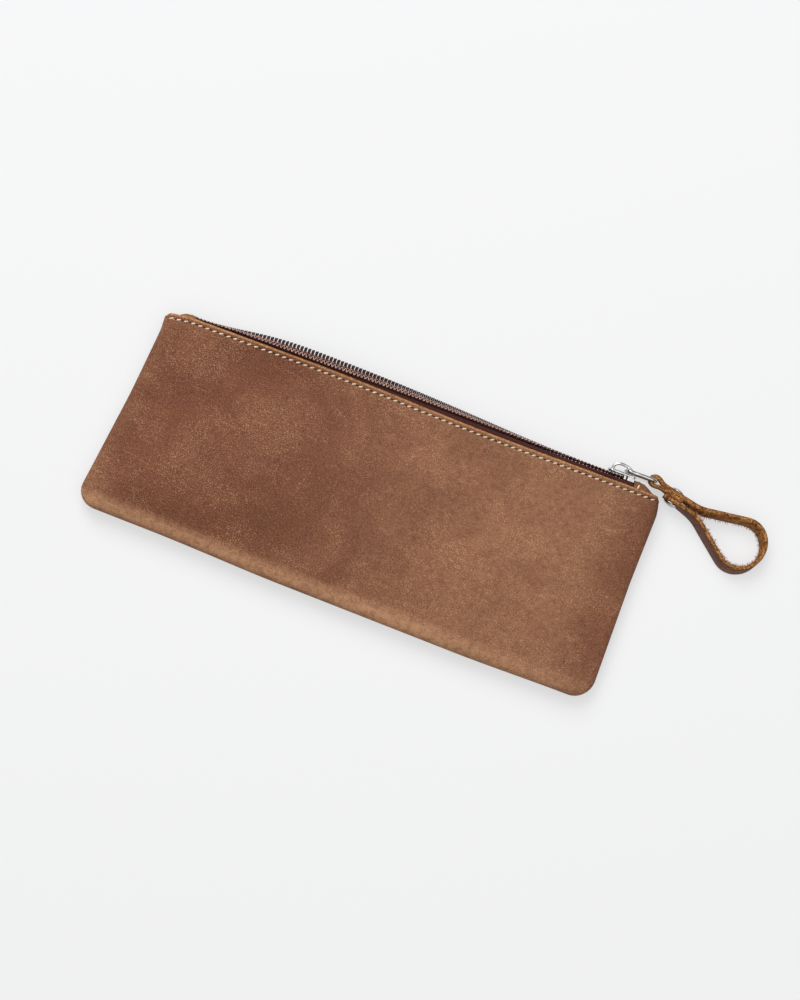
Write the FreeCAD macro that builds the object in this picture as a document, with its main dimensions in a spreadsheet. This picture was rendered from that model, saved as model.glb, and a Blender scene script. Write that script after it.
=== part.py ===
# Zipped leather pen case, lying on its back panel.
# X runs along the zip, Y from the base to the zip mouth, Z up through the front panel.
# The origin is the middle of the flat face that the case rests on.

import FreeCAD, Part
import math
import os
import re
import Sketcher
from FreeCAD import Placement, Rotation, Vector

SIZES = [
    # case
    ("half_mouth", 115.0, "half the case's length along the zip mouth"),
    ("side_flare", 4.0, "widening of each side towards the base"),
    ("case_depth", 92.0, "base to mouth edge"),
    ("leather", 1.4, "thickness of both panels"),
    ("base_corner", 9.0, "radius of the base corners in plan"),
    ("rim_round", 5.0, "rounding of a panel towards the side seam"),
    ("seam_allowance", 4.0, "leather turned inwards along the seam"),
    ("crown_rise", 2.0, "swell of the front panel"),
    ("crown_margin", 13.0, "flat border round the swell"),
    ("crown_slope", 22.0, "width of the swell's sloping border"),
    # thread
    ("stitch_margin", 2.0, "stitch line to mouth edge"),
    ("stitch_pitch", 3.2, "stitch spacing on the panels"),
    ("stitch_length", 2.0, "thread showing in one stitch"),
    ("stitch_width", 0.8, "thread width"),
    ("stitch_thick", 0.45, "thread thickness"),
    ("groove_width", 1.0, "stitch groove width"),
    ("groove_depth", 0.5, "stitch groove depth"),
    ("seam_pitch", 8.0, "stitch spacing on the turned seam"),
    # zip stringers
    ("zip_margin", 13.0, "corner of the mouth to the end of the zip"),
    ("tape_thick", 0.5, "woven tape thickness"),
    ("tape_sewn", 10.0, "tape sewn under a panel"),
    ("fold_reach", 2.1, "mouth edge to the line where a tape folds"),
    ("flap", 4.8, "fold line to the middle of the closed chain"),
    ("tape_flap", 3.9, "tape past its fold line"),
    ("tooth_pitch", 1.7, "coil turn spacing"),
    ("tooth_root", 1.8, "fold line to the back of a coil turn"),
    ("tooth_height", 1.5, "coil turn height over the tape"),
    ("tooth_lift", 0.1, "clearance of a coil turn over the tape"),
    ("leg_width", 0.55, "coil leg width along the zip"),
    ("head_width", 0.82, "coil head width along the zip"),
    ("mesh_depth", 0.45, "reach of a coil head past the chain's middle"),
    ("open_turn", 69.0, "turn of a stringer where the mouth is widest, degrees"),
    ("open_peak", -51.0, "place along the zip where the mouth is widest"),
    ("nose_spread", 1.5, "spread of each coil row at the slider's nose"),
    ("end_spread", 0.65, "spread of each coil row at the free end of the zip"),
    ("spread_run", 12.0, "length over which a spread dies out"),
    # end tabs
    ("tab_length", 8.0, "end tab length along the zip"),
    ("tab_thick", 1.2, "end tab leather"),
    ("left_rise", 2.4, "left end tab standing out of the mouth"),
    ("right_rise", 3.5, "right end tab standing out of the mouth"),
    ("tab_sewn", 8.0, "end tab sewn under the panels"),
    ("tab_round", 3.0, "outer rounding of an end tab"),
    ("tab_stitch", 1.85, "thread showing in one stitch across a tab"),
    # slider
    ("slider_length", 12.5, "nose to tail"),
    ("slider_nose", 4.3, "half width at the nose"),
    ("slider_tail", 3.9, "half width at the tail"),
    ("slider_gap", 0.3, "slider tail to end tab when the zip is open"),
    ("plate", 1.3, "slider plate thickness"),
    ("flange", 0.8, "slider flange thickness"),
    ("slot_half", 0.45, "half the slot that the tape runs in"),
    ("coil_room", 0.2, "clearance over the coil in the slider"),
    ("merge_run", 7.0, "nose to the place where the rows have meshed"),
    ("wedge_length", 3.2, "length of the dividing wedge"),
    ("wedge_half", 0.75, "half width of the dividing wedge at the nose"),
    ("wedge_tip", 0.12, "half width of the dividing wedge at its tip"),
    ("bridge_rise", 2.5, "room under the slider's bridge"),
    ("bridge_thick", 1.1, "bridge thickness"),
    ("bridge_width", 2.6, "bridge width"),
    ("bridge_shoulder", 1.75, "height of the bridge's bend over the nose"),
    ("bridge_heel", 1.2, "height of the bridge's bend over the tail"),
    ("bridge_heel_run", 4.0, "length of the bridge's slope to the tail"),
    # pull ring
    ("ring_wire", 1.8, "ring wire diameter"),
    ("ring_inner", 8.4, "room between the ring's rails"),
    ("ring_length", 12.9, "near bar to far bar, centres"),
    ("ring_bend", 1.6, "ring corner radius, wire centre"),
    ("ring_place", 4.4, "slider tail back to the near bar"),
    ("ring_play", 0.4, "clearance of the near bar over the slider"),
    # strap
    ("strap_thick", 1.8, "strap leather"),
    ("strap_width", 7.6, "strap width"),
    ("strap_tilt", -15.8, "strap direction from the zip line, degrees"),
    ("strap_play", 0.15, "clearance of the strap's fold round the far bar"),
    ("layer_gap", 0.05, "gap between riveted layers"),
    ("fold_bend", 6.0, "bend radius where the fold draws together"),
    ("strap_neck", 20.0, "far bar to where the loop opens"),
    ("loop_radius", 11.0, "radius of the loop's far end"),
    ("loop_entry", 20.0, "bend radius where the loop opens"),
    ("loop_spread", 22.0, "angle of the loop's sides, degrees"),
    ("rivet_place", 11.0, "far bar to the rivet"),
    ("strap_lap", 4.0, "strap end past the rivet"),
    # rivet
    ("post_size", 2.4, "rivet post diameter"),
    ("post_play", 0.05, "clearance round the post"),
    ("head_size", 6.4, "rivet head diameter"),
    ("head_edge", 0.5, "rivet head edge thickness"),
    ("head_dome", 0.9, "rise of the rivet head over its edge"),
    ("head_top", 3.4, "rivet head diameter where it turns flat"),
    ("cap_sink", 0.6, "depth of the post in its cap"),
]

doc = FreeCAD.newDocument("PenCase")
sheet = doc.addObject("Spreadsheet::Sheet", "Sizes")
for row, (alias, value, note) in enumerate(SIZES, start=1):
    sheet.set(f"A{row}", note)
    sheet.set(f"B{row}", str(value))
    sheet.setAlias(f"B{row}", alias)
doc.recompute()
ALIASES = {alias for alias, value, note in SIZES}
nodes = []


def size(alias):
    """Value of one cell of the sheet."""
    return float(sheet.get(alias))


def bound(text):
    """Expression text with every alias written as a cell of the sheet."""
    return re.sub(r"[a-z_]+", lambda word: f"Sizes.{word[0]}" if word[0] in ALIASES else word[0], text)


def keep(obj, label):
    """Name an object as a finished sub-part."""
    obj.Label = label
    nodes.append(obj)
    return obj


# Places shared by several pieces, as expressions and as numbers.
MOUTH_Y = "case_depth / 2"
ZIP_HALF = "(half_mouth - zip_margin)"
CHAIN_Y = "(case_depth / 2 + fold_reach)"
CHAIN_Z = "(leather + tape_thick / 2 + flap)"
TAIL_X = f"({ZIP_HALF} - slider_gap)"
NOSE_X = f"({ZIP_HALF} - slider_gap - slider_length)"
CHANNEL_TOP = "(tape_thick / 2 + tooth_lift + tooth_height + coil_room)"
PLATE_TOP = f"({CHAIN_Y} + {CHANNEL_TOP} + plate)"

mouth_y = size("case_depth") / 2
chain_y = mouth_y + size("fold_reach")
chain_z = size("leather") + size("tape_thick") / 2 + size("flap")
front_z = 2 * chain_z
zip_half = size("half_mouth") - size("zip_margin")
tail_x = zip_half - size("slider_gap")
nose_x = tail_x - size("slider_length")
plate_top = (chain_y + size("tape_thick") / 2 + size("tooth_lift") + size("tooth_height")
             + size("coil_room") + size("plate"))
ring_y = plate_top + size("ring_play") + size("ring_wire") / 2
ring_near = Vector(tail_x - size("ring_place"), ring_y, chain_z)
ring_far = ring_near + Vector(size("ring_length"), 0, 0)


def new_body(name):
    return doc.addObject("PartDesign::Body", name)


def sketch(body, name, role, level, *loops):
    """Sketch of closed outlines; every corner is a pair of expressions bound to the sheet."""
    drawing = body.newObject("Sketcher::SketchObject", name)
    support = next(item for item in body.Origin.OriginFeatures if item.Role == role)
    drawing.AttachmentSupport = [(support, "")]
    drawing.MapMode = "FlatFace"
    drawing.setExpression(".AttachmentOffset.Base.z", bound(level))
    first = 0
    for corners in loops:
        count = len(corners)
        turn = 2 * math.pi / count
        ring = [Vector(math.cos(turn * k), math.sin(turn * k), 0) for k in range(count)]
        for k in range(count):
            drawing.addGeometry(Part.LineSegment(ring[k], ring[(k + 1) % count]))
        for k, (across, along) in enumerate(corners):
            line = first + k
            following = first + (k + 1) % count
            drawing.addConstraint(Sketcher.Constraint("Coincident", line, 2, following, 1))
            for kind, text, start in (("DistanceX", across, ring[k].x), ("DistanceY", along, ring[k].y)):
                index = drawing.addConstraint(Sketcher.Constraint(kind, -1, 1, line, 1, start))
                drawing.setExpression(f"Constraints[{index}]", bound(text))
        first += count
    return drawing


def extrude(body, kind, drawing, length, name, backwards=False):
    """Pad or Pocket of a sketch."""
    feature = body.newObject(f"PartDesign::{kind}", name)
    feature.Profile = drawing
    feature.setExpression("Length", bound(length))
    feature.Reversed = backwards
    body.Tip = feature
    return feature


def round_edges(body, radius, name, pick):
    """Fillet on the edges of the body that pick accepts."""
    doc.recompute()
    base = body.Tip
    names = [f"Edge{number}" for number, edge in enumerate(base.Shape.Edges, start=1) if pick(edge)]
    feature = body.newObject("PartDesign::Fillet", name)
    feature.Base = (base, names)
    feature.setExpression("Radius", bound(radius))
    body.Tip = feature
    return feature


def cut(base, tool, name):
    result = doc.addObject("Part::Cut", name)
    result.Base = base
    result.Tool = tool
    return result


def near(value, target):
    return abs(value - target) < 1e-4


# Panels: two leather shells, each with its edge turned inwards to the sewn seam.

def plan(inset, past_mouth):
    """Corners of the case's outline in plan, drawn in by inset and carried past the mouth edge."""
    top = f"{MOUTH_Y} + {past_mouth}"
    base = f"-case_depth / 2 + {inset}"
    return [(f"-(half_mouth + side_flare) + {inset}", base), (f"(half_mouth + side_flare) - {inset}", base),
            (f"half_mouth - {inset}", top), (f"-half_mouth + {inset}", top)]


def case_half(name, inset, low, high, past_mouth, rim_at_top):
    """One half of the case's volume, rounded at its base corners and along its outer rim."""
    body = new_body(name)
    extrude(body, "Pad", sketch(body, f"{name}_plan", "XY_Plane", low, plan(inset, past_mouth)),
            f"{high} - ({low})", f"{name}_volume")
    base_y = -size("case_depth") / 2

    def base_corner(edge):
        ends = [vertex.Point for vertex in edge.Vertexes]
        upright = near(ends[0].x, ends[1].x) and near(ends[0].y, ends[1].y)
        return upright and ends[0].y < base_y + size("base_corner")

    round_edges(body, f"base_corner - {inset}", f"{name}_corners", base_corner)
    doc.recompute()
    box = body.Shape.BoundBox
    rim_z = box.ZMax if rim_at_top else box.ZMin

    def outer_rim(edge):
        ends = [vertex.Point for vertex in edge.Vertexes]
        on_rim = all(near(end.z, rim_z) for end in ends)
        return on_rim and not all(near(end.y, box.YMax) for end in ends)

    round_edges(body, f"rim_round - {inset}", f"{name}_rim", outer_rim)
    return body


def add_crown(body, name, level):
    """Swell of the front panel: a low wedge with four sloping sides on the flat of the panel."""
    wedge = body.newObject("PartDesign::AdditiveWedge", f"{name}_swell")
    wedge.Placement = Placement(Vector(0, 0, 0), Rotation(Vector(1, 0, 0), 90))
    for across, reach in (("X", "half_mouth"), ("Z", MOUTH_Y)):
        foot = f"({reach} - crown_margin)"
        peak = f"({reach} - crown_margin - crown_slope)"
        for prop, text in ((f"{across}min", f"-{foot}"), (f"{across}max", foot),
                           (f"{across}2min", f"-{peak}"), (f"{across}2max", peak)):
            wedge.setExpression(prop, bound(text))
    wedge.setExpression("Ymin", bound(level))
    wedge.setExpression("Ymax", bound(f"{level} + crown_rise"))
    body.Tip = wedge


def stitch_groove(name, top):
    """Shallow groove that the mouth stitching lies in, cut from the outer face at height top."""
    groove = doc.addObject("Part::Box", name)
    groove.setExpression("Length", bound("2 * (half_mouth - rim_round)"))
    groove.setExpression("Width", bound("groove_width"))
    groove.setExpression("Height", bound("groove_depth"))
    groove.setExpression(".Placement.Base.x", bound("-(half_mouth - rim_round)"))
    groove.setExpression(".Placement.Base.y", bound(f"{MOUTH_Y} - stitch_margin - groove_width / 2"))
    groove.setExpression(".Placement.Base.z", bound(top))
    return groove


def seam_opening(name, low):
    """Opening inside the turned seam, through both seam allowances."""
    body = new_body(name)
    inset = "(leather + seam_allowance)"
    extrude(body, "Pad", sketch(body, f"{name}_plan", "XY_Plane", low, plan(inset, "leather")),
            "3 * leather", f"{name}_volume")
    return body


def make_front_panel():
    outer = case_half("front_outer", "0", CHAIN_Z, f"2 * {CHAIN_Z}", "0", True)
    add_crown(outer, "front_outer", f"2 * {CHAIN_Z}")
    inner_top = f"2 * {CHAIN_Z} - leather"
    hollow = case_half("front_hollow", "leather", f"{CHAIN_Z} + leather", inner_top, "leather", True)
    add_crown(hollow, "front_hollow", inner_top)
    seam_gap = seam_opening("front_seam_gap", f"{CHAIN_Z} - leather")
    groove = stitch_groove("front_groove", f"2 * {CHAIN_Z} - groove_depth")
    shell = cut(outer, hollow, "front_shell")
    open_shell = cut(shell, seam_gap, "front_open_shell")
    keep(cut(open_shell, groove, "front_cut"), "front_panel")


def make_back_panel():
    outer = case_half("back_outer", "0", "0", CHAIN_Z, "0", False)
    hollow = case_half("back_hollow", "leather", "leather", f"{CHAIN_Z} - leather", "leather", False)
    seam_gap = seam_opening("back_seam_gap", f"{CHAIN_Z} - 2 * leather")
    groove = stitch_groove("back_groove", "0")
    shell = cut(outer, hollow, "back_shell")
    open_shell = cut(shell, seam_gap, "back_open_shell")
    keep(cut(open_shell, groove, "back_cut"), "back_panel")


# Thread: every stitch is one bar of thread lying on what it sews.

def feature(label, shape):
    obj = doc.addObject("Part::Feature", label)
    obj.Shape = shape
    return keep(obj, label)


def stitch(place, heading, low):
    """One stitch centred on place, along heading in degrees, lying on height low."""
    length, width = size("stitch_length"), size("stitch_width")
    bar = Part.makeBox(length, width, size("stitch_thick"), Vector(-length / 2, -width / 2, 0))
    bar.Placement = Placement(Vector(place.x, place.y, low), Rotation(Vector(0, 0, 1), heading))
    return bar


def run_of_stitches(start, end, pitch, low):
    span = end - start
    count = int(span.Length / pitch)
    heading = math.degrees(math.atan2(span.y, span.x))
    return [stitch(start + span * ((k + 0.5) / count), heading, low) for k in range(count)]


def make_mouth_stitching(label, low):
    reach = size("half_mouth") - size("rim_round")
    line_y = mouth_y - size("stitch_margin")
    feature(label, Part.makeCompound(run_of_stitches(
        Vector(-reach, line_y), Vector(reach, line_y), size("stitch_pitch"), low)))


def make_seam_stitching():
    inset = size("leather") + size("seam_allowance") / 2
    corner = size("base_corner")
    base_y = inset - size("case_depth") / 2
    slope = size("side_flare") / size("case_depth")

    def side_x(y):
        return size("half_mouth") - inset + slope * (mouth_y - y)

    def side(sign):
        foot_y = base_y + corner
        return (Vector(sign * side_x(mouth_y), mouth_y), Vector(sign * side_x(foot_y), foot_y))

    base = (Vector(-side_x(base_y) + corner, base_y), Vector(side_x(base_y) - corner, base_y))
    faces = (chain_z + size("leather"), chain_z - size("leather") - size("stitch_thick"))
    bars = []
    for low in faces:
        for start, end in (side(-1), base, side(1)):
            bars += run_of_stitches(start, end, size("seam_pitch"), low)
    feature("side_seam_stitching", Part.makeCompound(bars))


# Zip: each stringer is a tape sewn under its panel, folded out of the mouth, with a coil on its edge.
# A tape is a ruled loft over this many equal spans, besides the knots at its bends.
TAPE_SPANS = 32

def stringer_turn(x):
    """Angle of a stringer past its fold: 90 where the zip is shut, less where the mouth gapes."""
    peak = size("open_peak")
    far_end = nose_x if x > peak else -zip_half
    share = max(0.0, min(1.0, (x - far_end) / (peak - far_end)))
    return 90 - size("open_turn") * share ** 2 * (3 - 2 * share)


def stringer_spread(x):
    """How far a coil row stands outwards: round the slider's wedge, and at the zip's free end."""
    def fade(start, end):
        return max(0.0, min(1.0, (end - x) / (end - start)))
    inside = fade(nose_x, nose_x + size("merge_run"))
    before = 1 - fade(nose_x - size("spread_run"), nose_x)
    at_end = fade(-zip_half, -zip_half + size("spread_run"))
    return size("nose_spread") * inside * before + size("end_spread") * at_end


def stringer_place(x, side):
    """Fold point and direction of a stringer at x; side is 1 in front, -1 behind."""
    turn = math.radians(stringer_turn(x))
    fold = Vector(x, chain_y, chain_z + side * (size("flap") + stringer_spread(x)))
    return fold, Vector(0, math.cos(turn), -side * math.sin(turn))


def tape_section(x, side):
    """Outline of a tape at x: a band along its sewn part, its step out of the mouth and its flap."""
    fold, out = stringer_place(x, side)
    level = chain_z + side * size("flap")
    step_y = mouth_y + size("tape_thick")
    line = [Vector(x, mouth_y - size("tape_sewn"), level), Vector(x, step_y, level), fold,
            fold + out * size("tape_flap")]
    runs = [(line[k + 1] - line[k]).normalize() for k in range(3)]
    normals = [Vector(0, -run.z, run.y) for run in runs]
    half = size("tape_thick") / 2
    offsets = [normals[0] * half]
    for one, two in zip(normals, normals[1:]):
        offsets.append((one + two) * (half / (1 + one.dot(two))))
    offsets.append(normals[2] * half)
    upper = [point + offset for point, offset in zip(line, offsets)]
    lower = [point - offset for point, offset in zip(line, offsets)]
    return Part.makePolygon(upper + lower[::-1] + upper[:1])


def make_tape(label, side):
    reach = zip_half
    knots = [-reach + 2 * reach * k / TAPE_SPANS for k in range(TAPE_SPANS + 1)]
    knots += [nose_x, nose_x + size("merge_run"), nose_x - size("spread_run"), -reach + size("spread_run")]
    sections = [tape_section(x, side) for x in sorted(knots)]
    feature(label, Part.makeLoft(sections, True, True))


def coil_turn(side):
    """One turn of the coil: a leg that widens to the head which locks with the other row."""
    leg, head = size("leg_width") / 2, size("head_width") / 2
    root = size("tooth_root")
    tip = size("flap") + size("mesh_depth")
    low = side * (size("tape_thick") / 2 + size("tooth_lift"))
    corners = [(-leg, root), (-head, tip), (head, tip), (leg, root)]
    wire = Part.makePolygon([Vector(x, y, low) for x, y in corners + corners[:1]])
    return Part.Face(wire).extrude(Vector(0, 0, side * size("tooth_height")))


def make_coil(label, side):
    pitch = size("tooth_pitch")
    reach = zip_half - pitch
    shift = 0 if side > 0 else pitch / 2
    pattern = coil_turn(side)
    turns = []
    for k in range(int(2 * reach / pitch) + 1):
        x = -reach + shift + k * pitch
        if x > reach:
            break
        fold, out = stringer_place(x, side)
        turn = pattern.copy()
        turn.Placement = Placement(fold, Rotation(Vector(1, 0, 0), -side * stringer_turn(x)))
        turns.append(turn)
    feature(label, Part.makeCompound(turns))


# End tabs: leather caps over both ends of the zip, sewn under the panels.

def rise_alias(side):
    return "right_rise" if side > 0 else "left_rise"


def make_end_tab(label, side):
    body = new_body(label)
    near_x = ZIP_HALF if side > 0 else f"-{ZIP_HALF} - tab_length"
    cap_x = f"{ZIP_HALF} + tab_length - tab_thick" if side > 0 else near_x
    half = "(flap + tape_thick / 2)"
    foot = f"{MOUTH_Y} - tab_sewn"
    top = f"{MOUTH_Y} + {rise_alias(side)}"
    up, down = f"{CHAIN_Z} + {half}", f"{CHAIN_Z} - {half}"
    arch = [(foot, down), (top, down), (top, up), (foot, up), (foot, f"{up} - tab_thick"),
            (f"{top} - tab_thick", f"{up} - tab_thick"), (f"{top} - tab_thick", f"{down} + tab_thick"),
            (foot, f"{down} + tab_thick")]
    fold = sketch(body, f"{label}_arch", "YZ_Plane", near_x, arch)
    extrude(body, "Pad", fold, "tab_length", f"{label}_fold")
    end = [(f"{MOUTH_Y} + slider_gap", down), (top, down), (top, up), (f"{MOUTH_Y} + slider_gap", up)]
    cap = sketch(body, f"{label}_end", "YZ_Plane", cap_x, end)
    extrude(body, "Pad", cap, "tab_thick", f"{label}_cap")
    apex = mouth_y + size(rise_alias(side))
    spread = size("flap") + size("tape_thick") / 2

    def shoulder(edge):
        ends = [vertex.Point for vertex in edge.Vertexes]
        along = near(ends[0].y, apex) and near(ends[1].y, apex) and near(ends[0].z, ends[1].z)
        return along and near(abs(ends[0].z - chain_z), spread)

    round_edges(body, "tab_round", f"{label}_shoulders", shoulder)
    keep(body, label)


def make_tab_stitching(label, side):
    """Two stitches across a tab, beside its zip end."""
    apex = mouth_y + size(rise_alias(side))
    x = side * (zip_half + size("stitch_margin"))
    length, width = size("tab_stitch"), size("stitch_width")
    flat = size("flap") + size("tape_thick") / 2 - size("tab_round")
    bars = [Part.makeBox(width, size("stitch_thick"), length, Vector(x - width / 2, apex, chain_z + start))
            for start in (-flat, flat - length)]
    feature(label, Part.makeCompound(bars))


# Slider: one casting, two plates held apart by the wedge, flanges round the tail and a bridge.

def make_slider():
    body = new_body("zip_slider")
    under = f"{CHAIN_Y} - slot_half"
    merged = f"{NOSE_X} + merge_run + slot_half"
    outline = [(f"{NOSE_X} + flange", f"{CHAIN_Z} - slider_nose"), (merged, f"{CHAIN_Z} - slider_nose"),
               (f"{TAIL_X} - flange", f"{CHAIN_Z} - slider_tail"),
               (TAIL_X, f"{CHAIN_Z} - slider_tail + flange"), (TAIL_X, f"{CHAIN_Z} + slider_tail - flange"),
               (f"{TAIL_X} - flange", f"{CHAIN_Z} + slider_tail"), (merged, f"{CHAIN_Z} + slider_nose"),
               (f"{NOSE_X} + flange", f"{CHAIN_Z} + slider_nose"),
               (NOSE_X, f"{CHAIN_Z} + slider_nose - 2 * flange"),
               (NOSE_X, f"{CHAIN_Z} - slider_nose + 2 * flange")]
    block = sketch(body, "slider_outline", "XZ_Plane", f"-({under} - plate)", outline)
    extrude(body, "Pad", block, f"slot_half + {CHANNEL_TOP} + 2 * plate", "slider_block", True)
    doc.recompute()
    solid_volume = body.Shape.Volume

    wide, narrow = "(slider_nose + plate)", "(slider_tail - flange)"
    before, after = f"{NOSE_X} - plate", f"{TAIL_X} + plate"
    channel = [(before, f"{CHAIN_Z} - {wide}"), (merged, f"{CHAIN_Z} - {wide}"),
               (merged, f"{CHAIN_Z} - {narrow}"), (after, f"{CHAIN_Z} - {narrow}"),
               (after, f"{CHAIN_Z} + {narrow}"), (merged, f"{CHAIN_Z} + {narrow}"),
               (merged, f"{CHAIN_Z} + {wide}"), (before, f"{CHAIN_Z} + {wide}")]
    wedge_start = f"{NOSE_X} + slider_gap"
    wedge_end = f"{wedge_start} + wedge_length"
    wedge = [(wedge_start, f"{CHAIN_Z} - wedge_half"), (wedge_end, f"{CHAIN_Z} - wedge_tip"),
             (wedge_end, f"{CHAIN_Z} + wedge_tip"), (wedge_start, f"{CHAIN_Z} + wedge_half")]
    hollow = sketch(body, "slider_channel", "XZ_Plane", f"-({under})", channel, wedge)
    extrude(body, "Pocket", hollow, f"slot_half + {CHANNEL_TOP}", "slider_hollow")
    slot = [(merged, f"{CHAIN_Z} - {wide}"), (after, f"{CHAIN_Z} - {wide}"),
            (after, f"{CHAIN_Z} + {wide}"), (merged, f"{CHAIN_Z} + {wide}")]
    tape_way = sketch(body, "slider_slot", "XZ_Plane", f"-({under})", slot)
    extrude(body, "Pocket", tape_way, "2 * slot_half", "tape_slot")
    doc.recompute()
    if body.Shape.Volume > 0.8 * solid_volume:
        raise RuntimeError("the slider's channel cut nothing")

    crown = f"{PLATE_TOP} + bridge_rise + bridge_thick"
    room = f"{PLATE_TOP} + bridge_rise"
    start, stop = f"{NOSE_X} + plate", f"{TAIL_X} - slider_gap"
    arch = [(start, f"{PLATE_TOP} - slider_gap"),
            (f"{start} + bridge_thick / 3", f"{PLATE_TOP} + bridge_shoulder"),
            (f"{start} + bridge_rise", crown), (f"{stop} - bridge_heel_run", crown),
            (f"{stop} - bridge_thick / 2", f"{PLATE_TOP} + bridge_heel"), (stop, f"{PLATE_TOP} - slider_gap")]
    inside = [(f"{start} + bridge_thick", PLATE_TOP),
              (f"{start} + bridge_thick * 4 / 3", f"{PLATE_TOP} + bridge_shoulder"),
              (f"{start} + bridge_rise + bridge_thick / 2", room),
              (f"{stop} - bridge_heel_run - bridge_thick / 3", room),
              (f"{stop} - bridge_thick * 3 / 2", f"{PLATE_TOP} + bridge_heel"),
              (f"{stop} - bridge_thick", PLATE_TOP)]
    profile = sketch(body, "bridge_profile", "XY_Plane", f"{CHAIN_Z} - bridge_width / 2", arch + inside[::-1])
    extrude(body, "Pad", profile, "bridge_width", "bridge")
    keep(body, "zip_slider")


# Pull: a wire ring through the bridge, and a leather strap folded round the ring and riveted.

def make_ring():
    """Rectangular ring of round wire, in the upright plane along the zip: bars joined by bends."""
    wire, bend = size("ring_wire") / 2, size("ring_bend")
    side = size("ring_inner") / 2 + wire - bend
    near_x, far_x = ring_near.x + bend, ring_far.x - bend
    pieces = []
    for x, z, heading in ((far_x, side, 0), (far_x, -side, 90), (near_x, -side, 180), (near_x, side, 270)):
        turn = Rotation(Vector(0, 1, 0), heading)
        centre = Vector(x, ring_y, chain_z + z)
        start = centre + turn.multVec(Vector(0, 0, bend))
        disc = Part.Face(Part.Wire(Part.makeCircle(wire, start, turn.multVec(Vector(1, 0, 0)))))
        pieces.append(disc.revolve(centre, Vector(0, 1, 0), 90))
        length = 2 * side if heading in (0, 180) else far_x - near_x
        end = centre + turn.multVec(Vector(bend, 0, 0))
        pieces.append(Part.makeCylinder(wire, length, end, turn.multVec(Vector(0, 0, -1))))
    feature("pull_ring", pieces[0].multiFuse(pieces[1:]).Solids[0])


class StripPath:
    """Walk along a strip's middle line, collecting its two faces as lines and arcs."""

    def __init__(self, start, heading, thick):
        self.point = start
        self.heading = heading
        self.half = thick / 2
        self.left = []
        self.right = []

    def across(self, heading):
        turn = math.radians(heading + 90)
        return Vector(math.cos(turn), math.sin(turn), 0)

    def line(self, length):
        turn = math.radians(self.heading)
        end = self.point + Vector(math.cos(turn), math.sin(turn), 0) * length
        side = self.across(self.heading) * self.half
        self.left.append(Part.LineSegment(self.point + side, end + side).toShape())
        self.right.append(Part.LineSegment(self.point - side, end - side).toShape())
        self.point = end

    def arc(self, radius, turn):
        """Turn by an angle in degrees, to the left where it is positive."""
        sign = math.copysign(1, turn)
        centre = self.point + self.across(self.heading) * (sign * radius)
        for faces, shift in ((self.left, -sign * self.half), (self.right, sign * self.half)):
            headings = [self.heading + turn * share for share in (0, 0.5, 1)]
            spokes = [self.across(heading) * (-sign * (radius + shift)) for heading in headings]
            faces.append(Part.Arc(*[centre + spoke for spoke in spokes]).toShape())
        self.point = centre - self.across(self.heading + turn) * (sign * radius)
        self.heading += turn

    def face(self):
        start = Part.LineSegment(self.right[0].Vertexes[0].Point, self.left[0].Vertexes[0].Point).toShape()
        end = Part.LineSegment(self.left[-1].Vertexes[-1].Point, self.right[-1].Vertexes[-1].Point).toShape()
        return Part.Face(Part.Wire(Part.__sortEdges__(self.left + [end] + self.right + [start])))


def layer_step():
    return size("strap_thick") + size("layer_gap")


def strap_frame():
    """Placement of the strap's own frame: its axis points from the far bar down the loop."""
    turn = Rotation(Vector(0, 0, 1), size("strap_tilt"))
    bar = Vector(0, layer_step() / 2, chain_z)
    return Placement(ring_far - turn.multVec(bar), turn)


def make_strap():
    thick = size("strap_thick")
    fold = size("ring_wire") / 2 + size("strap_play") + thick / 2
    draw = fold - layer_step() / 2
    bend = size("fold_bend")
    swing = math.degrees(math.acos(1 - draw / (2 * bend)))
    drawn = 2 * bend * math.sin(math.radians(swing))
    spread = math.radians(size("loop_spread"))
    entry, loop = size("loop_entry"), size("loop_radius")
    side_run = (loop * math.cos(spread) - layer_step() - entry * (1 - math.cos(spread))) / math.sin(spread)

    strip = StripPath(Vector(size("rivet_place") + size("strap_lap"), 0), 180, thick)
    strip.line(size("rivet_place") + size("strap_lap") - drawn)
    strip.arc(bend, swing)
    strip.arc(bend, -swing)
    strip.arc(fold, -180)
    strip.arc(bend, -swing)
    strip.arc(bend, swing)
    strip.line(size("strap_neck") - drawn)
    strip.arc(entry, size("loop_spread"))
    strip.line(side_run)
    strip.arc(loop, -90 - size("loop_spread"))
    strip.arc(loop, -90 - size("loop_spread"))
    strip.line(side_run)
    strip.arc(entry, size("loop_spread"))
    strip.line(size("strap_neck") - size("rivet_place") + size("strap_lap"))

    band = strip.face()
    band.translate(Vector(0, 0, chain_z - size("strap_width") / 2))
    solid = band.extrude(Vector(0, 0, size("strap_width")))
    reach = 2 * layer_step()
    hole = Part.makeCylinder(size("post_size") / 2 + size("post_play"), 2 * reach,
                             Vector(size("rivet_place"), -reach, chain_z), Vector(0, 1, 0))
    solid = solid.cut(hole)
    solid.Placement = strap_frame()
    feature("pull_strap", solid)


def turned_piece(label, shank, outwards):
    """Rivet piece turned about its axis: shank holds (radius, height) pairs up to the raised head."""
    head, edge, dome = size("head_size") / 2, size("head_edge"), size("head_dome")
    cap = [(head, 0), (head, edge), (size("head_top") / 2, edge + dome), (0, edge + dome)]
    points = [Vector(radius, 0, height) for radius, height in shank + cap]
    face = Part.Face(Part.makePolygon(points + points[:1]))
    axis = Rotation(Vector(0, 0, 1), Vector(0, outwards, 0))
    seat = layer_step() + size("strap_thick") / 2
    place = Vector(size("rivet_place"), outwards * seat, chain_z)
    obj = feature(label, face.revolve(Vector(0, 0, 0), Vector(0, 0, 1), 360))
    obj.Placement = strap_frame().multiply(Placement(place, axis))


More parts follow.
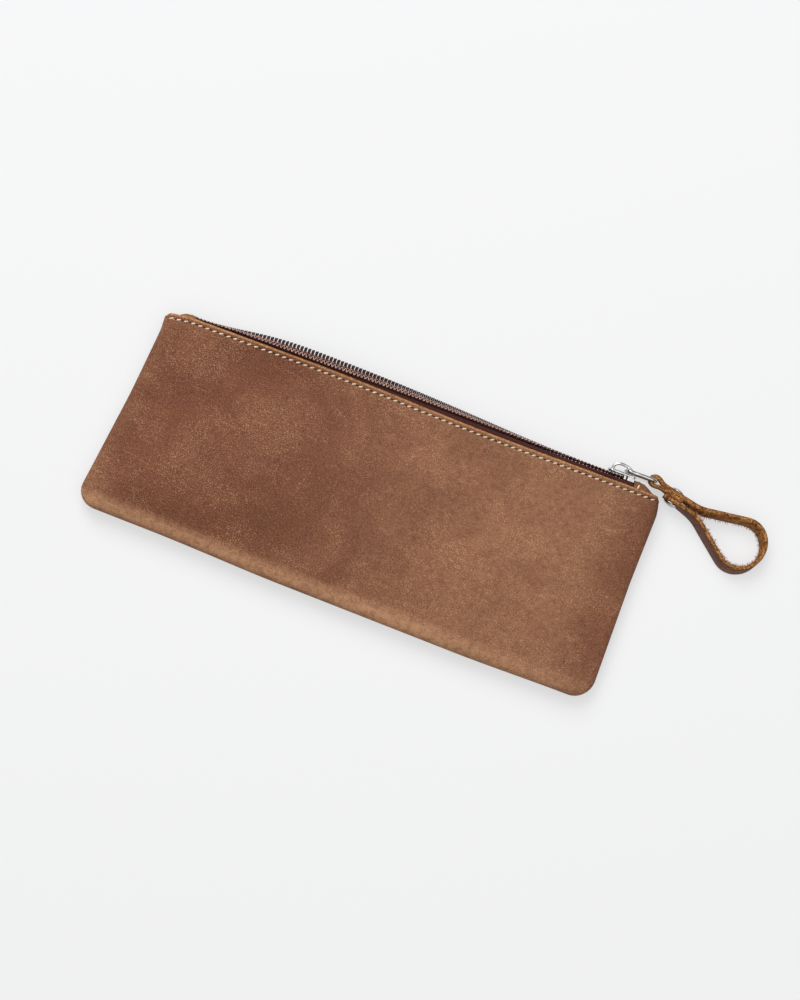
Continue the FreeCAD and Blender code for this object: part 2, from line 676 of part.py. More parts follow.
def make_rivet():
    post = size("post_size") / 2
    bore = post + size("post_play")
    sink = size("cap_sink")
    stack = 2 * layer_step() + size("strap_thick")
    turned_piece("rivet_post", [(0, -stack - sink), (post, -stack - sink), (post, 0)], -1)
    turned_piece("rivet_cap", [(0, sink), (bore, sink), (bore, 0)], 1)


make_front_panel()
make_back_panel()
make_mouth_stitching("front_stitching", front_z - size("groove_depth"))
make_mouth_stitching("back_stitching", size("groove_depth") - size("stitch_thick"))
make_seam_stitching()
for name, side in (("front", 1), ("back", -1)):
    make_tape(f"{name}_zip_tape", side)
    make_coil(f"{name}_zip_coil", side)
for name, side in (("left", -1), ("right", 1)):
    make_end_tab(f"{name}_end_tab", side)
    make_tab_stitching(f"{name}_tab_stitching", side)
make_slider()
make_ring()
make_strap()
make_rivet()

doc.recompute()
for obj in doc.Objects:
    if {"Invalid", "Error"} & set(obj.State):
        raise RuntimeError(f"{obj.Label} did not build: {obj.State}")
os.makedirs("parts", exist_ok=True)
for node in nodes:
    if node.Shape.isNull() or not node.Shape.isValid():
        raise RuntimeError(f"{node.Label} is not a valid shape")
    node.Shape.exportStep(f"parts/{node.Label}.step")
    print(f"{node.Label}: {len(node.Shape.Solids)} solids, {node.Shape.Volume:.1f} mm3")
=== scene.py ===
# %% [markdown]
# A zipped pen case of waxed brown leather, dressed over its imported solids. The solids stay as the frame:
# every mesh below is made in the same place, and most ride on one of the frame's bodies; the zip's flaps and
# the floor ride on none. The lesson goes from the materials to the soft panels, then to the zip and its pull,
# and ends with the light.

# %% Frame
import bmesh
import bpy
import math
import random
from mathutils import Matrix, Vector, noise


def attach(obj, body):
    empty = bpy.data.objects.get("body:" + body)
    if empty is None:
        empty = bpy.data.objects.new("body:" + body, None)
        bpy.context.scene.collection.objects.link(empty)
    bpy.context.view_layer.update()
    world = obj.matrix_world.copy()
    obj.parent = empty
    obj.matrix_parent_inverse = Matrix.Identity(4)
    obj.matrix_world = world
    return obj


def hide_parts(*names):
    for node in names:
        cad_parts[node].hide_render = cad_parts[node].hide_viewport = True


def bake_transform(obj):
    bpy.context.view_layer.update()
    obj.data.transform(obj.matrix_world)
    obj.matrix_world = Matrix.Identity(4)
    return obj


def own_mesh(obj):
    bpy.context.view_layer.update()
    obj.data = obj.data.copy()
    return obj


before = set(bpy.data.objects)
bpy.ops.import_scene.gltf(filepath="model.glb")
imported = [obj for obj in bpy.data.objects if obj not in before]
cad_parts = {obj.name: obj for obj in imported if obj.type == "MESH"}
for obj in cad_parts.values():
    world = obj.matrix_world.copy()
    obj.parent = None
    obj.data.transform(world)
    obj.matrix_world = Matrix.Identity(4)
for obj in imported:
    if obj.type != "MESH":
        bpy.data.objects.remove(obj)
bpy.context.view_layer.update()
MM = 0.001
SEED = 7
random.seed(SEED)

# %% [markdown]
# The case is a flat pouch, a little wider along its base than along its mouth. Its measures could be
# read back from the solids, but they are easier to follow when they are written out once. They are in
# millimetres, in the frame's axes: X along the zip, Y from the base to the mouth, Z up. Soft leather has
# few hard changes, so one soft step, which glides from 0 to 1 between two places, shapes nearly
# everything.

# %% Measures
MOUTH_Y = 46.0
BASE_Y = -46.0
HALF_MOUTH = 115.0
FLARE = 4.0
MID_Z = 6.45
CORNER = 9.0


def smooth(share):
    """Soft step: 0 below 0, 1 above 1, and level at both ends."""
    share = max(0.0, min(1.0, share))
    return share * share * (3 - 2 * share)


def between(value, start, end):
    """Soft step of a value: 0 at the start place and 1 at the end place."""
    return smooth((value - start) / (end - start))


def half_width(y):
    return HALF_MOUTH + FLARE * (MOUTH_Y - y) / (MOUTH_Y - BASE_Y)


print("case:", 2 * HALF_MOUTH, "mm along the mouth,", 2 * half_width(BASE_Y), "mm along the base")

# %% [markdown]
# Materials are node trees. They could be wired by hand in the shader editor; in a script, helpers that
# add one node each let a material read as a list of its layers. A value that varies is linked, and a
# value that is the same all over is set on the socket.

# %% Node helpers
def put(tree, socket, value):
    if isinstance(value, bpy.types.NodeSocket):
        tree.links.new(value, socket)
    else:
        socket.default_value = value


def add(tree, kind, inputs=(), **settings):
    made = tree.nodes.new(kind)
    for key, value in settings.items():
        setattr(made, key, value)
    for key, value in dict(inputs).items():
        put(tree, made.inputs[key], value)
    return made


def math_node(tree, operation, one, two):
    return add(tree, "ShaderNodeMath", {0: one, 1: two}, operation=operation).outputs[0]


def times(tree, one, two):
    return math_node(tree, "MULTIPLY", one, two)


def plus(tree, one, two):
    return math_node(tree, "ADD", one, two)


def ramp(tree, value, low, high, start=0.0, end=1.0):
    inputs = {"Value": value, "From Min": low, "From Max": high, "To Min": start, "To Max": end}
    return add(tree, "ShaderNodeMapRange", inputs, interpolation_type="SMOOTHSTEP").outputs["Result"]


SHARE, FIRST_COLOUR, SECOND_COLOUR, MIXED_COLOUR = 0, 6, 7, 2


def blend_colour(tree, share, one, two):
    made = add(tree, "ShaderNodeMix", data_type="RGBA")
    put(tree, made.inputs[SHARE], share)
    put(tree, made.inputs[FIRST_COLOUR], one)
    put(tree, made.inputs[SECOND_COLOUR], two)
    return made.outputs[MIXED_COLOUR]


print("a colour mix takes inputs", FIRST_COLOUR, "and", SECOND_COLOUR, "and gives output", MIXED_COLOUR)

# %% [markdown]
# Leather, cloth and worn metal are all covered in fine marks. Photographs of them would tie the marks
# to one picture, so noise makes them here instead: even speckle, speckle stretched into hairlines, and
# round spots. A bump node turns the same marks into relief. The place that feeds the noise is the mesh's
# own, so the marks move with the piece.

# %% Pattern helpers
SPOT_CORE = 0.4
SPOT_CHANCE_SOFT = 0.15


def speckle(tree, place, scale, detail=3.0, rough=0.5, distort=0.0):
    inputs = {"Vector": place, "Scale": scale, "Detail": detail, "Roughness": rough, "Distortion": distort}
    return add(tree, "ShaderNodeTexNoise", inputs).outputs["Fac"]


def stretched(tree, place, turn, stretch):
    inputs = {"Vector": place, "Rotation": (0.0, 0.0, math.radians(turn)), "Scale": stretch}
    return add(tree, "ShaderNodeMapping", inputs).outputs["Vector"]


def dots(tree, place, scale, size, share):
    """Round spots, of which only a share of the cells has one."""
    cells = add(tree, "ShaderNodeTexVoronoi", {"Vector": place, "Scale": scale, "Randomness": 1.0})
    chance = add(tree, "ShaderNodeSeparateColor", {"Color": cells.outputs["Color"]}).outputs["Red"]
    round_spot = ramp(tree, cells.outputs["Distance"], SPOT_CORE * size, size, 1.0, 0.0)
    return times(tree, round_spot, ramp(tree, chance, 1 - share, 1 + SPOT_CHANCE_SOFT - share))


def bump(tree, height, strength, distance):
    inputs = {"Height": height, "Strength": strength, "Distance": distance}
    return add(tree, "ShaderNodeBump", inputs).outputs["Normal"]


def object_place(tree):
    return add(tree, "ShaderNodeTexCoord").outputs["Object"]


print("spots are full up to", SPOT_CORE, "of their radius and fade from there")

# %% [markdown]
# A finish that several pieces share is made once, as a node group with named sockets, and placed in each
# material with its own colours. Colours are written as they look on screen, from 0 to 255, because that
# is how they are judged; the shader needs them linear, so one function turns them.

# %% Groups, materials and colours
FLOAT, COLOUR, VECTOR = "NodeSocketFloat", "NodeSocketColor", "NodeSocketVector"


def new_group(name, inputs, outputs):
    group = bpy.data.node_groups.new(name, "ShaderNodeTree")
    for key, kind in inputs:
        group.interface.new_socket(key, in_out="INPUT", socket_type=kind)
    for key, kind in outputs:
        group.interface.new_socket(key, in_out="OUTPUT", socket_type=kind)
    return group, group.nodes.new("NodeGroupInput").outputs, group.nodes.new("NodeGroupOutput").inputs


def place_group(tree, group, inputs):
    made = tree.nodes.new("ShaderNodeGroup")
    made.node_tree = group
    for key, value in inputs.items():
        put(tree, made.inputs[key], value)
    return made.outputs


def new_material(name):
    made = bpy.data.materials.new(name)
    made.use_nodes = True
    tree = made.node_tree
    return made, tree, tree.nodes["Principled BSDF"]


def tint(*screen):
    """Linear colour of a screen colour given as red, green and blue from 0 to 255."""
    return tuple(((c / 255 + 0.055) / 1.055) ** 2.4 if c > 10 else c / 3295 for c in screen) + (1.0,)


print("middle grey on screen is", round(tint(128, 128, 128)[0], 3), "to the shader")

# %% [markdown]
# Waxed pull-up leather is a matte brown that lightens wherever it is rubbed. It could be one noise
# between two browns, but from close up it has distinct layers: soft clouds, a dense pale and dark
# speckle, pale crumbs of wax, hairline scuffs, and pores in the grain. One group holds them all, because
# the panels, the end tabs and the strap are cut from such leather. It puts out the colour, the relief,
# and how far each spot is rubbed pale.

# %% Leather group
PORE = tint(62, 33, 22)
SCUFFS = ((28, 12.0, 130.0), (-38, 14.0, 110.0), (74, 13.0, 140.0))
leather_inputs = [("Place", VECTOR), ("Dark", COLOUR), ("Light", COLOUR)]
leather_outputs = [("Colour", COLOUR), ("Height", FLOAT), ("Rub", FLOAT)]
leather_group, given, out = new_group("waxed_leather", leather_inputs, leather_outputs)
tree, place = leather_group, given["Place"]
clouds = speckle(tree, place, scale=30.0, detail=6.0, rough=0.62, distort=0.5)
mottle = speckle(tree, place, scale=260.0, detail=4.0, rough=0.7)
patch = ramp(tree, speckle(tree, place, scale=34.0, detail=5.0, rough=0.65, distort=0.8), 0.42, 0.68)
base = blend_colour(tree, ramp(tree, clouds, 0.32, 0.68), given["Dark"], given["Light"])
base = blend_colour(tree, ramp(tree, mottle, 0.30, 0.58, 0.34, 0.0), base, given["Dark"])
pores = ramp(tree, speckle(tree, place, scale=2600.0, detail=1.0, rough=0.5), 0.34, 0.48, 1.0, 0.0)
specks = ramp(tree, speckle(tree, place, scale=2300.0, detail=1.0, rough=0.5), 0.55, 0.68)
crumbs = dots(tree, place, scale=420.0, size=0.15, share=0.30)
scuffs = 0.0
for turn, stretch, scale in SCUFFS:
    lines = speckle(tree, stretched(tree, place, turn, (1.0, stretch, 1.0)), scale, 2.0, 0.5, 0.4)
    scuffs = plus(tree, ramp(tree, lines, 0.64, 0.76), scuffs)
print("leather layers:", len(tree.nodes), "nodes so far")

# %% [markdown]
# The layers could simply be added up, but real wear comes in patches. So the pale marks are weighed
# against each other first, and then made livelier where a patch of the hide was handled more.

# %% Leather group's results
lively = plus(tree, times(tree, patch, 0.60), 0.38)
pale = plus(tree, times(tree, specks, 0.74), times(tree, crumbs, 0.6))
pale = plus(tree, pale, times(tree, scuffs, 0.30))
rub = plus(tree, times(tree, pale, lively), times(tree, patch, 0.05))
put(tree, out["Colour"], blend_colour(tree, times(tree, pores, 0.85), base, PORE))
put(tree, out["Rub"], rub)
grain = math_node(tree, "SUBTRACT", times(tree, mottle, 1.2), pores)
put(tree, out["Height"], plus(tree, grain, times(tree, specks, 0.4)))
print("waxed leather:", len(tree.nodes), "nodes")

# %% [markdown]
# Where leather is cut, or on its flesh side, loose fibres show: golden tan, with dark flecks of painted
# shade for the gaps between the fibres. Hair strands could stand for them, but they would be too many for a
# reusable part. A second group makes the fibre pattern for the mouth's raw edge, the tabs' edges and the
# strap's inside.

# %% Raw leather group
FIBRE_GAP_SHADE = tint(62, 32, 12)
fibre_inputs = leather_inputs + [("Flecks", FLOAT)]
fibre_group, given, out = new_group("raw_fibres", fibre_inputs, [("Colour", COLOUR), ("Height", FLOAT)])
tree, place = fibre_group, given["Place"]
tufts = speckle(tree, place, scale=680.0, detail=4.0, rough=0.75, distort=1.2)
strands = speckle(tree, stretched(tree, place, 25, (1.0, 5.0, 1.0)), 700.0, 3.0, 0.65, 1.5)
shade = speckle(tree, place, scale=120.0, detail=3.0, rough=0.6)
mixed = plus(tree, times(tree, tufts, 0.6), times(tree, strands, 0.4))
base = blend_colour(tree, ramp(tree, mixed, 0.44, 0.56), given["Dark"], given["Light"])
base = blend_colour(tree, ramp(tree, shade, 0.35, 0.7, 0.35, 0.0), base, given["Dark"])
# Dark flecks that paint the shade in the hollows between fibres.
gap_shade_flecks = dots(tree, place, scale=620.0, size=0.46, share=0.45)
put(tree, out["Colour"], blend_colour(tree, times(tree, gap_shade_flecks, given["Flecks"]), base, FIBRE_GAP_SHADE))
put(tree, out["Height"], mixed)
print("raw fibres:", len(tree.nodes), "nodes")

# %% [markdown]
# The same hide looks different on each piece: the panels are a red brown, the small tabs paler from
# handling, and the strap darker and a little smoother. Edge wear could be painted into each material,
# but a mesh knows best where it is rubbed. So each mesh carries a wear value at its points, and the
# material breaks it up with noise and turns those places gold and rougher. On the panels the same value
# also carries painted shade: the wear fades out towards the right edge and leaves a darker band there.

# %% Leather materials
RUBBED_GOLD = tint(206, 157, 118)
MOST_RUB = 0.8
RUB_ROUGHER = 0.16


def leather(name, dark, light, roughness):
    """Waxed leather that wears pale where the mesh's wear attribute says; the attribute also holds painted
    shade.
    """
    made, tree, shader = new_material(name)
    layers = place_group(tree, leather_group, {"Place": object_place(tree), "Dark": dark, "Light": light})
    # On the panels this attribute holds wear and also painted shade, where the wear fades out before the
    # right edge.
    worn_and_shaded = add(tree, "ShaderNodeAttribute", attribute_name="wear_and_shade").outputs["Fac"]
    marks = speckle(tree, object_place(tree), scale=360.0, detail=6.0, rough=0.8)
    ragged = ramp(tree, marks, 0.32, 0.68, 0.35, 1.0)
    rub = plus(tree, layers["Rub"], times(tree, worn_and_shaded, ragged))
    rub = math_node(tree, "MINIMUM", rub, MOST_RUB)
    put(tree, shader.inputs["Base Color"], blend_colour(tree, rub, layers["Colour"], RUBBED_GOLD))
    put(tree, shader.inputs["Roughness"], ramp(tree, rub, 0.0, MOST_RUB, roughness, roughness + RUB_ROUGHER))
    put(tree, shader.inputs["Normal"], bump(tree, layers["Height"], strength=0.35, distance=0.00035))
    shader.inputs["Specular IOR Level"].default_value = 0.17
    return made


def raw_leather(name, dark, light, gap_shade_flecks):
    made, tree, shader = new_material(name)
    inputs = {"Place": object_place(tree), "Dark": dark, "Light": light, "Flecks": gap_shade_flecks}
    layers = place_group(tree, fibre_group, inputs)
    put(tree, shader.inputs["Base Color"], layers["Colour"])
    put(tree, shader.inputs["Normal"], bump(tree, layers["Height"], strength=0.9, distance=0.0008))
    put(tree, shader.inputs["Roughness"], ramp(tree, layers["Height"], 0.3, 0.7, 0.9, 0.75))
    shader.inputs["Specular IOR Level"].default_value = 0.15
    return made


panel_leather = leather("panel_leather", tint(114, 67, 47), tint(130, 80, 57), 0.6)
tab_leather = leather("tab_leather", tint(112, 76, 48), tint(150, 108, 72), 0.6)
strap_leather = leather("strap_leather", tint(98, 57, 38), tint(130, 82, 57), 0.52)
# The last number is how strongly the flecks paint the shade between the fibres.
edge_leather = raw_leather("edge_leather", tint(156, 104, 66), tint(218, 164, 114), 0.2)
flesh_leather = raw_leather("flesh_leather", tint(102, 58, 25), tint(222, 158, 94), 0.7)
lining_leather = raw_leather("lining_leather", tint(70, 46, 34), tint(122, 84, 58), 0.3)
print("leathers:", [m.name for m in bpy.data.materials if "leather" in m.name])

# %% [markdown]
# The zip has a plum brown woven tape. Its weave is far too fine to model thread by thread, so two
# crossed waves make it, one for the warp and one for the weft, roughened by noise.

# %% Tape cloth
WEAVE = 420.0
WEAVE_DISTORTION = 0.6


def threads(tree, place, direction):
    inputs = {"Vector": place, "Scale": WEAVE, "Distortion": WEAVE_DISTORTION}
    return add(tree, "ShaderNodeTexWave", inputs, bands_direction=direction).outputs["Fac"]


def woven(name, dark, light):
    made, tree, shader = new_material(name)
    place = object_place(tree)
    warp = threads(tree, place, "X")
    cloth = times(tree, warp, threads(tree, place, "Y"))
    cloth = plus(tree, cloth, times(tree, speckle(tree, place, scale=800.0), 0.4))
    put(tree, shader.inputs["Base Color"], blend_colour(tree, ramp(tree, cloth, 0.1, 0.9), dark, light))
    put(tree, shader.inputs["Normal"], bump(tree, cloth, strength=0.5, distance=0.0003))
    put(tree, shader.inputs["Roughness"], ramp(tree, cloth, 0.0, 1.0, 0.9, 0.72))
    shader.inputs["Specular IOR Level"].default_value = 0.15
    return made


tape_cloth = woven("tape_cloth", tint(52, 26, 25), tint(97, 55, 51))
print("made", tape_cloth.name)

# %% [markdown]
# The coil is nearly black nylon with a soft shine, held down by pink brown sewing thread. The seams are
# sewn with waxed cream thread. The slider, ring and rivet are polished nickel plate with faint wiping
# marks. All of these have one kind of fine mark, so a single function with different scales, gloss and
# metal serves them.

# %% Nylon, thread and metal
NYLON_SPECULAR = 0.25


def plain_grain(name, dark, light, scale, low_rough, high_rough, metal=0.0, depth=0.0001):
    made, tree, shader = new_material(name)
    marks = speckle(tree, object_place(tree), scale, detail=4.0, rough=0.65)
    put(tree, shader.inputs["Base Color"], blend_colour(tree, ramp(tree, marks, 0.3, 0.7), dark, light))
    put(tree, shader.inputs["Roughness"], ramp(tree, marks, 0.3, 0.7, low_rough, high_rough))
    put(tree, shader.inputs["Normal"], bump(tree, marks, 0.15, depth))
    shader.inputs["Metallic"].default_value = metal
    return made


coil_nylon = plain_grain("coil_nylon", tint(31, 15, 13), tint(68, 38, 32), 500.0, 0.34, 0.5)
coil_nylon.node_tree.nodes["Principled BSDF"].inputs["Specular IOR Level"].default_value = NYLON_SPECULAR
coil_thread = plain_grain("coil_thread", tint(164, 112, 98), tint(238, 198, 182), 1400.0, 0.7, 0.9,
                          depth=0.0002)
cream_thread = plain_grain("cream_thread", tint(206, 184, 146), tint(250, 240, 216), 1800.0, 0.6, 0.8,
                           depth=0.0003)
# Near-black painted shade, for the needle holes and for the groove between the mouth stitches.
painted_hole_shade = plain_grain("painted_hole_shade", tint(18, 9, 6), tint(40, 22, 15), 900.0, 0.85, 0.95)
nickel = plain_grain("nickel", tint(160, 157, 154), tint(224, 222, 219), 420.0, 0.06, 0.18,
                     metal=1.0, depth=0.00003)
print("materials:", len(bpy.data.materials))

# %% [markdown]
# A piece can be modelled with Blender's editing tools or written as lists of points and faces. Written
# lists are used here, because every curve of the case is known as a formula. A face names its material
# by its place in a list. Then points that share a place are joined, and all faces are turned outwards.

# %% Mesh helpers
WELD = 0.00001


def make_piece(name, points, faces, materials, kinds, wear_and_shade):
    mesh = bpy.data.meshes.new(name)
    mesh.from_pydata([Vector(p) * MM for p in points], [], faces)
    for material in materials:
        mesh.materials.append(material)
    mesh.polygons.foreach_set("material_index", kinds)
    mesh.polygons.foreach_set("use_smooth", [True] * len(mesh.polygons))
    mesh.attributes.new("wear_and_shade", "FLOAT", "POINT").data.foreach_set("value", wear_and_shade)
    mesh.validate()
    mesh.update()
    piece = bpy.data.objects.new(name, mesh)
    bpy.context.scene.collection.objects.link(piece)
    return tidy(piece)


def tidy(piece):
    """Join points that share a place, and turn every face outwards."""
    work = bmesh.new()
    work.from_mesh(piece.data)
    bmesh.ops.remove_doubles(work, verts=work.verts, dist=WELD)
    bmesh.ops.dissolve_degenerate(work, edges=work.edges, dist=WELD)
    bmesh.ops.recalc_face_normals(work, faces=work.faces)
    work.to_mesh(piece.data)
    work.free()
    return piece


def seat(piece, body, slot, *nodes):
    """Put a piece on its body, in place of the solids that it stands for; the slot argument is not used."""
    if body:
        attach(piece, body)
    if nodes:
        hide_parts(*nodes)
    print(piece.name, len(piece.data.vertices), "points on", body)
    return piece


print("points closer than", round(WELD / MM, 3), "mm are joined")

# %% [markdown]
# Most small pieces here are skins over a row of rings: a stitch, a wire, a coil, a folded tab. Blender's
# bevelled curves could do the round ones, but not those with a section of their own. So one builder
# gathers such skins, closes their ends, and turns them into a piece.

# %% Skins over rings
class Builder:
    """Points and faces of one piece, gathered from several tubes, strips and blobs."""

    def __init__(self):
        self.points, self.faces, self.kinds = [], [], []

    def loops(self, rings, kind, closed=False):
        """Skin over closed rings of equal count; kind is one material or one for each side of the ring."""
        start, count, total = len(self.points), len(rings[0]), len(rings)
        for ring in rings:
            self.points += ring
        for at in range(total if closed else total - 1):
            one, two = start + at * count, start + (at + 1) % total * count
            for k in range(count):
                after = (k + 1) % count
                self.faces.append((one + k, one + after, two + after, two + k))
                self.kinds.append(kind if isinstance(kind, int) else kind[k])
        if not closed:
            for at in (0, total - 1):
                self.faces.append(tuple(start + at * count + k for k in range(count)))
                self.kinds.append(kind if isinstance(kind, int) else max(kind))

    def piece(self, name, materials):
        wear_and_shade = [0.0] * len(self.points)
        return make_piece(name, self.points, self.faces, materials, self.kinds, wear_and_shade)


trial = Builder()
trial.loops([[Vector((0, 0, z))] * 4 for z in range(3)], 0)
print("a skin over three rings of four points has", len(trial.faces), "faces")

# %% [markdown]
# Threads and fibres are round, so their rings are circles square to a path. If every circle were set up
# on its own, its start could jump from ring to ring and twist the skin. So each ring takes its start
# from the ring before it.

# %% Tubes along a path
def around(count):
    """Angles of a full turn in equal steps."""
    return [2 * math.pi * k / count for k in range(count)]


def run_at(path, at):
    """Direction of a path at one of its points."""
    return (path[min(at + 1, len(path) - 1)] - path[max(at - 1, 0)]).normalized()


def tube_rings(path, radii, sides):
    """Round rings along a path, with one radius for each point."""
    rings = []
    side = None
    for at, (point, radius) in enumerate(zip(path, radii)):
        run = run_at(path, at)
        side = (side - run * side.dot(run)) if side else run.orthogonal()
        side = side.normalized()
        up = run.cross(side)
        rings.append([point + (side * math.cos(t) + up * math.sin(t)) * radius for t in around(sides)])
    return rings


print("quarters of a turn:", [round(t, 2) for t in around(4)])

# %% [markdown]
# A panel is one thick piece of leather. Its outer face swells a little, rounds over a soft rim to the
# seam, and turns inwards there as a seam allowance. A subdivided box would round every edge alike, so
# the rim is drawn as a list of steps instead: how far in from the outline, and how high over the middle
# of the case. One list is the outer face and one the inner face. Rows of points run across the case,
# closer together at the stitch line.

# %% Panel's rim and rows
OUTER_RIM = [(4.8, 0.12), (2.5, 0.12), (1.0, 0.16), (0.35, 0.35), (0.05, 0.9), (0.0, 1.5), (0.22, 2.8),
             (0.8, 4.0), (1.75, 5.1), (3.0, 5.85), (4.6, 6.26), (6.6, 6.42), (9.0, 6.45)]
INNER_RIM = [(4.8, 1.5), (2.6, 1.5), (2.1, 1.52), (1.75, 1.6), (1.5, 1.8), (1.4, 2.0), (1.6, 2.75),
             (2.0, 3.5), (2.7, 4.2), (3.7, 4.75), (5.0, 4.98), (6.6, 5.03), (9.0, 5.05)]
OUTER_FACE = OUTER_RIM[-1][1]
CORNER_Y = BASE_Y + CORNER
EVEN_TOP = 40.0
EVEN_ROWS = 36
STITCH_ROWS = [41.4, 42.5, 43.2, 43.55, 43.8, 44.0, 44.2, 44.45, 44.75]
ROWS = [CORNER_Y + (EVEN_TOP - CORNER_Y) * k / EVEN_ROWS for k in range(EVEN_ROWS + 1)] + STITCH_ROWS
COLUMN_COUNT = 120
COLUMNS = [-1 + 2 * k / COLUMN_COUNT for k in range(COLUMN_COUNT + 1)]
CORNER_STEPS = 7
print("panel rows:", len(ROWS), "columns:", len(COLUMNS))

# %% [markdown]
# A flat pouch of soft leather isn't flat. Its front swells over the hollow inside and has faint waves,
# the thread presses a line along the mouth, and the faces sink towards the sides and the base. A cloth
# simulation could find this, but a shell with nothing inside it gives it little to push against. So each
# of these is a small formula of the place on the panel, and can be set by looking at the photograph.

# %% How the faces swell and sink
STITCH_Y = 44.0
SWELL = 2.0
WAVES = ((46, 32, 5.0, 0.40), (19, 16, 9.0, 0.10))
PRESSED = 0.34
PRESSED_HALF = 0.34
SIDE_SINK, SIDE_RUN = 3.5, 24
BASE_SINK, BASE_RUN = 1.9, 19
BACK_SHARE = 0.3


def swell(x, y, side):
    """Height of the front face over its flat: the swell and soft waves. The back lies flat."""
    if side < 0:
        return 0.0
    reach = min(half_width(y) - abs(x), y - BASE_Y, MOUTH_Y - y)
    waves = sum(noise.noise(Vector((x / wide, y / tall, seed))) * high for wide, tall, seed, high in WAVES)
    return SWELL * between(reach, 9, 36) + waves * between(reach, 3, 15)


def pressed(y):
    """Depth of the line that the mouth's stitches press into the leather."""
    return PRESSED * math.exp(-((y - STITCH_Y) / PRESSED_HALF) ** 2)


def sink(x, y):
    """How far the face has sunk near the sides and the base, where a soft pouch is thinner."""
    side = SIDE_SINK * between(half_width(y) - abs(x), SIDE_RUN, 0)
    base = BASE_SINK * between(y - BASE_Y, BASE_RUN, 0)
    return max(side, base) * between(y, 43, 25)


print("front swells by", round(swell(0, 0, 1), 2), "mm; its side sinks by", round(sink(117, 0), 2), "mm")

# %% [markdown]
# The real case also lies a little askew: the base is pulled to the left and bellies out, the two sides
# lean, and the mouth's edge bows outwards where the zip gapes. The outline could be drawn point by
# point, but then the rows of the panel wouldn't follow. So a straight panel is made first, and this
# function moves each of its points sideways.

# %% How the outline lies
BOW, OPEN_BOW, CORNER_BOW = 0.6, 2.0, 0.5
CORNER_CUT = 1.0
RIGHT_LEAN, RIGHT_SHARE = 1.3, 2.4
LEFT_PIVOT, LEFT_LOW_LEAN, LEFT_HIGH_LEAN = 0.41, 5.0, 2.0
BELLY = 1.1
BASE_SHIFT, BASE_TURN = 2.6, 0.017


def bow(x):
    """How far the mouth's edge bows outwards: most over the open half of the zip, less at the left corner."""
    return (BOW + OPEN_BOW * between(x, 45, -50)) * (1 - CORNER_BOW * between(x, -102, -114))


def drape(x, y):
    """Place of a panel's point in the soft outline; share is 0 at the mouth and 1 at the base."""
    share = (MOUTH_Y - y) / (MOUTH_Y - BASE_Y)
    below_mouth = between(y, 45, 37)
    corner = CORNER_CUT * between(half_width(y) - abs(x), 2.4, 0.0) * between(y, 41, 46)
    right = RIGHT_LEAN * between(x, 50, 110) * max(0.0, 1 - RIGHT_SHARE * share) * below_mouth
    lean = LEFT_LOW_LEAN if share > LEFT_PIVOT else LEFT_HIGH_LEAN
    left = lean * (share - LEFT_PIVOT) * between(x, -50, -110) * below_mouth
    belly = BELLY * share ** 2 * between(abs(x - 15), 100, 40)
    arch = bow(x) * between(y, 10, 44)
    return x - BASE_SHIFT * share + right - left, y - BASE_TURN * x * share ** 2 - corner - belly + arch


print("mouth bows by", round(bow(-50), 2), "mm; base corners at", drape(-119, BASE_Y), drape(119, BASE_Y))

# %% [markdown]
# Pull-up leather turns pale where it is bent or handled: in a band along the base, most on the left, at the
# low corners, and a little all over the right half. That right-half wear fades out towards the right edge,
# and the darker band it leaves there is painted shade, where the side curves away from the light. It could
# be a painted mask; a formula of the place gives each point its wear, and stays true when the mesh gets
# more rows.

# %% Where the panels are worn, and the painted shade at the right edge
BAND_WEAR, BAND_LESS = 0.66, 0.40
CORNER_WEAR, CORNER_REACH = 0.16, 26
RIGHT_WEAR_AND_EDGE_SHADE = 0.30
EDGE_WEAR = 0.4


def panel_wear_and_shade(x, y):
    """Share of worn, pale colour at a place on a panel; where it fades out at the right edge it paints shade.
    """
    low = y - BASE_Y
    band = between(low, 9.0, 4.0) * between(low, -1.0, 2.0) * (BAND_WEAR - BAND_LESS * between(x, 10, 90))
    corner = math.hypot(max(0.0, abs(x) - 92) / CORNER_REACH, max(0.0, -20 - y) / CORNER_REACH)
    # Pale wear over the right half; it fades out towards the right edge, and the darker band left there is
    # painted shade.
    right = RIGHT_WEAR_AND_EDGE_SHADE * between(x, -70, 80) * between(abs(x), 117, 91)
    return band + CORNER_WEAR * between(corner, 0.5, 1.2) + right


print("wear at the base's middle:", round(panel_wear_and_shade(0, BASE_Y + 3), 2))

# %% [markdown]
# Now the panel's mesh, which starts from its outline. A filled curve would give long thin triangles that
# crease as the leather swells. So rings that follow the outline make the rim and the round corners, and
# a grid fills the middle: quads then run along every edge.

# %% Panel's outline
def outline_ring(inset, rows):
    """Flat ring at an inset from the outline, from the mouth's left end round the base to its right end."""
    reach, radius = half_width(CORNER_Y) - CORNER, CORNER - inset
    ring = [(-(half_width(y) - inset), y) for y in reversed(rows)]
    turns = [math.pi * (1 + 0.5 * k / (CORNER_STEPS + 1)) for k in range(1, CORNER_STEPS + 1)]
    ring += [(-reach + radius * math.cos(t), CORNER_Y + radius * math.sin(t)) for t in turns]
    base = [(f * reach, BASE_Y + inset) for f in COLUMNS]
    return ring + base + [(-x, y) for x, y in reversed(ring)]


print("points round the outline:", len(outline_ring(0.0, ROWS)))

# %% [markdown]
# The outer and the inner face are both made from such rings. A solidify modifier could give the inner
# face, but its even thickness would miss the turned seam. Along the mouth, rows between the two faces
# round off the cut edge, whose raw tan shows from above, with a little fuzz.

# %% Panels
GRAIN, CUT_EDGE, LINING = 0, 1, 2
EDGE_DROP, INNER_DROP = 0.7, 0.05
EDGE_ROWS = ((0.10, 0.55), (0.32, 0.2), (0.62, 0.0), (0.85, 0.0))
EDGE_CROWN = 0.5
FUZZ, FUZZ_GRAIN, FUZZ_ROWS = 0.07, 0.9, 9


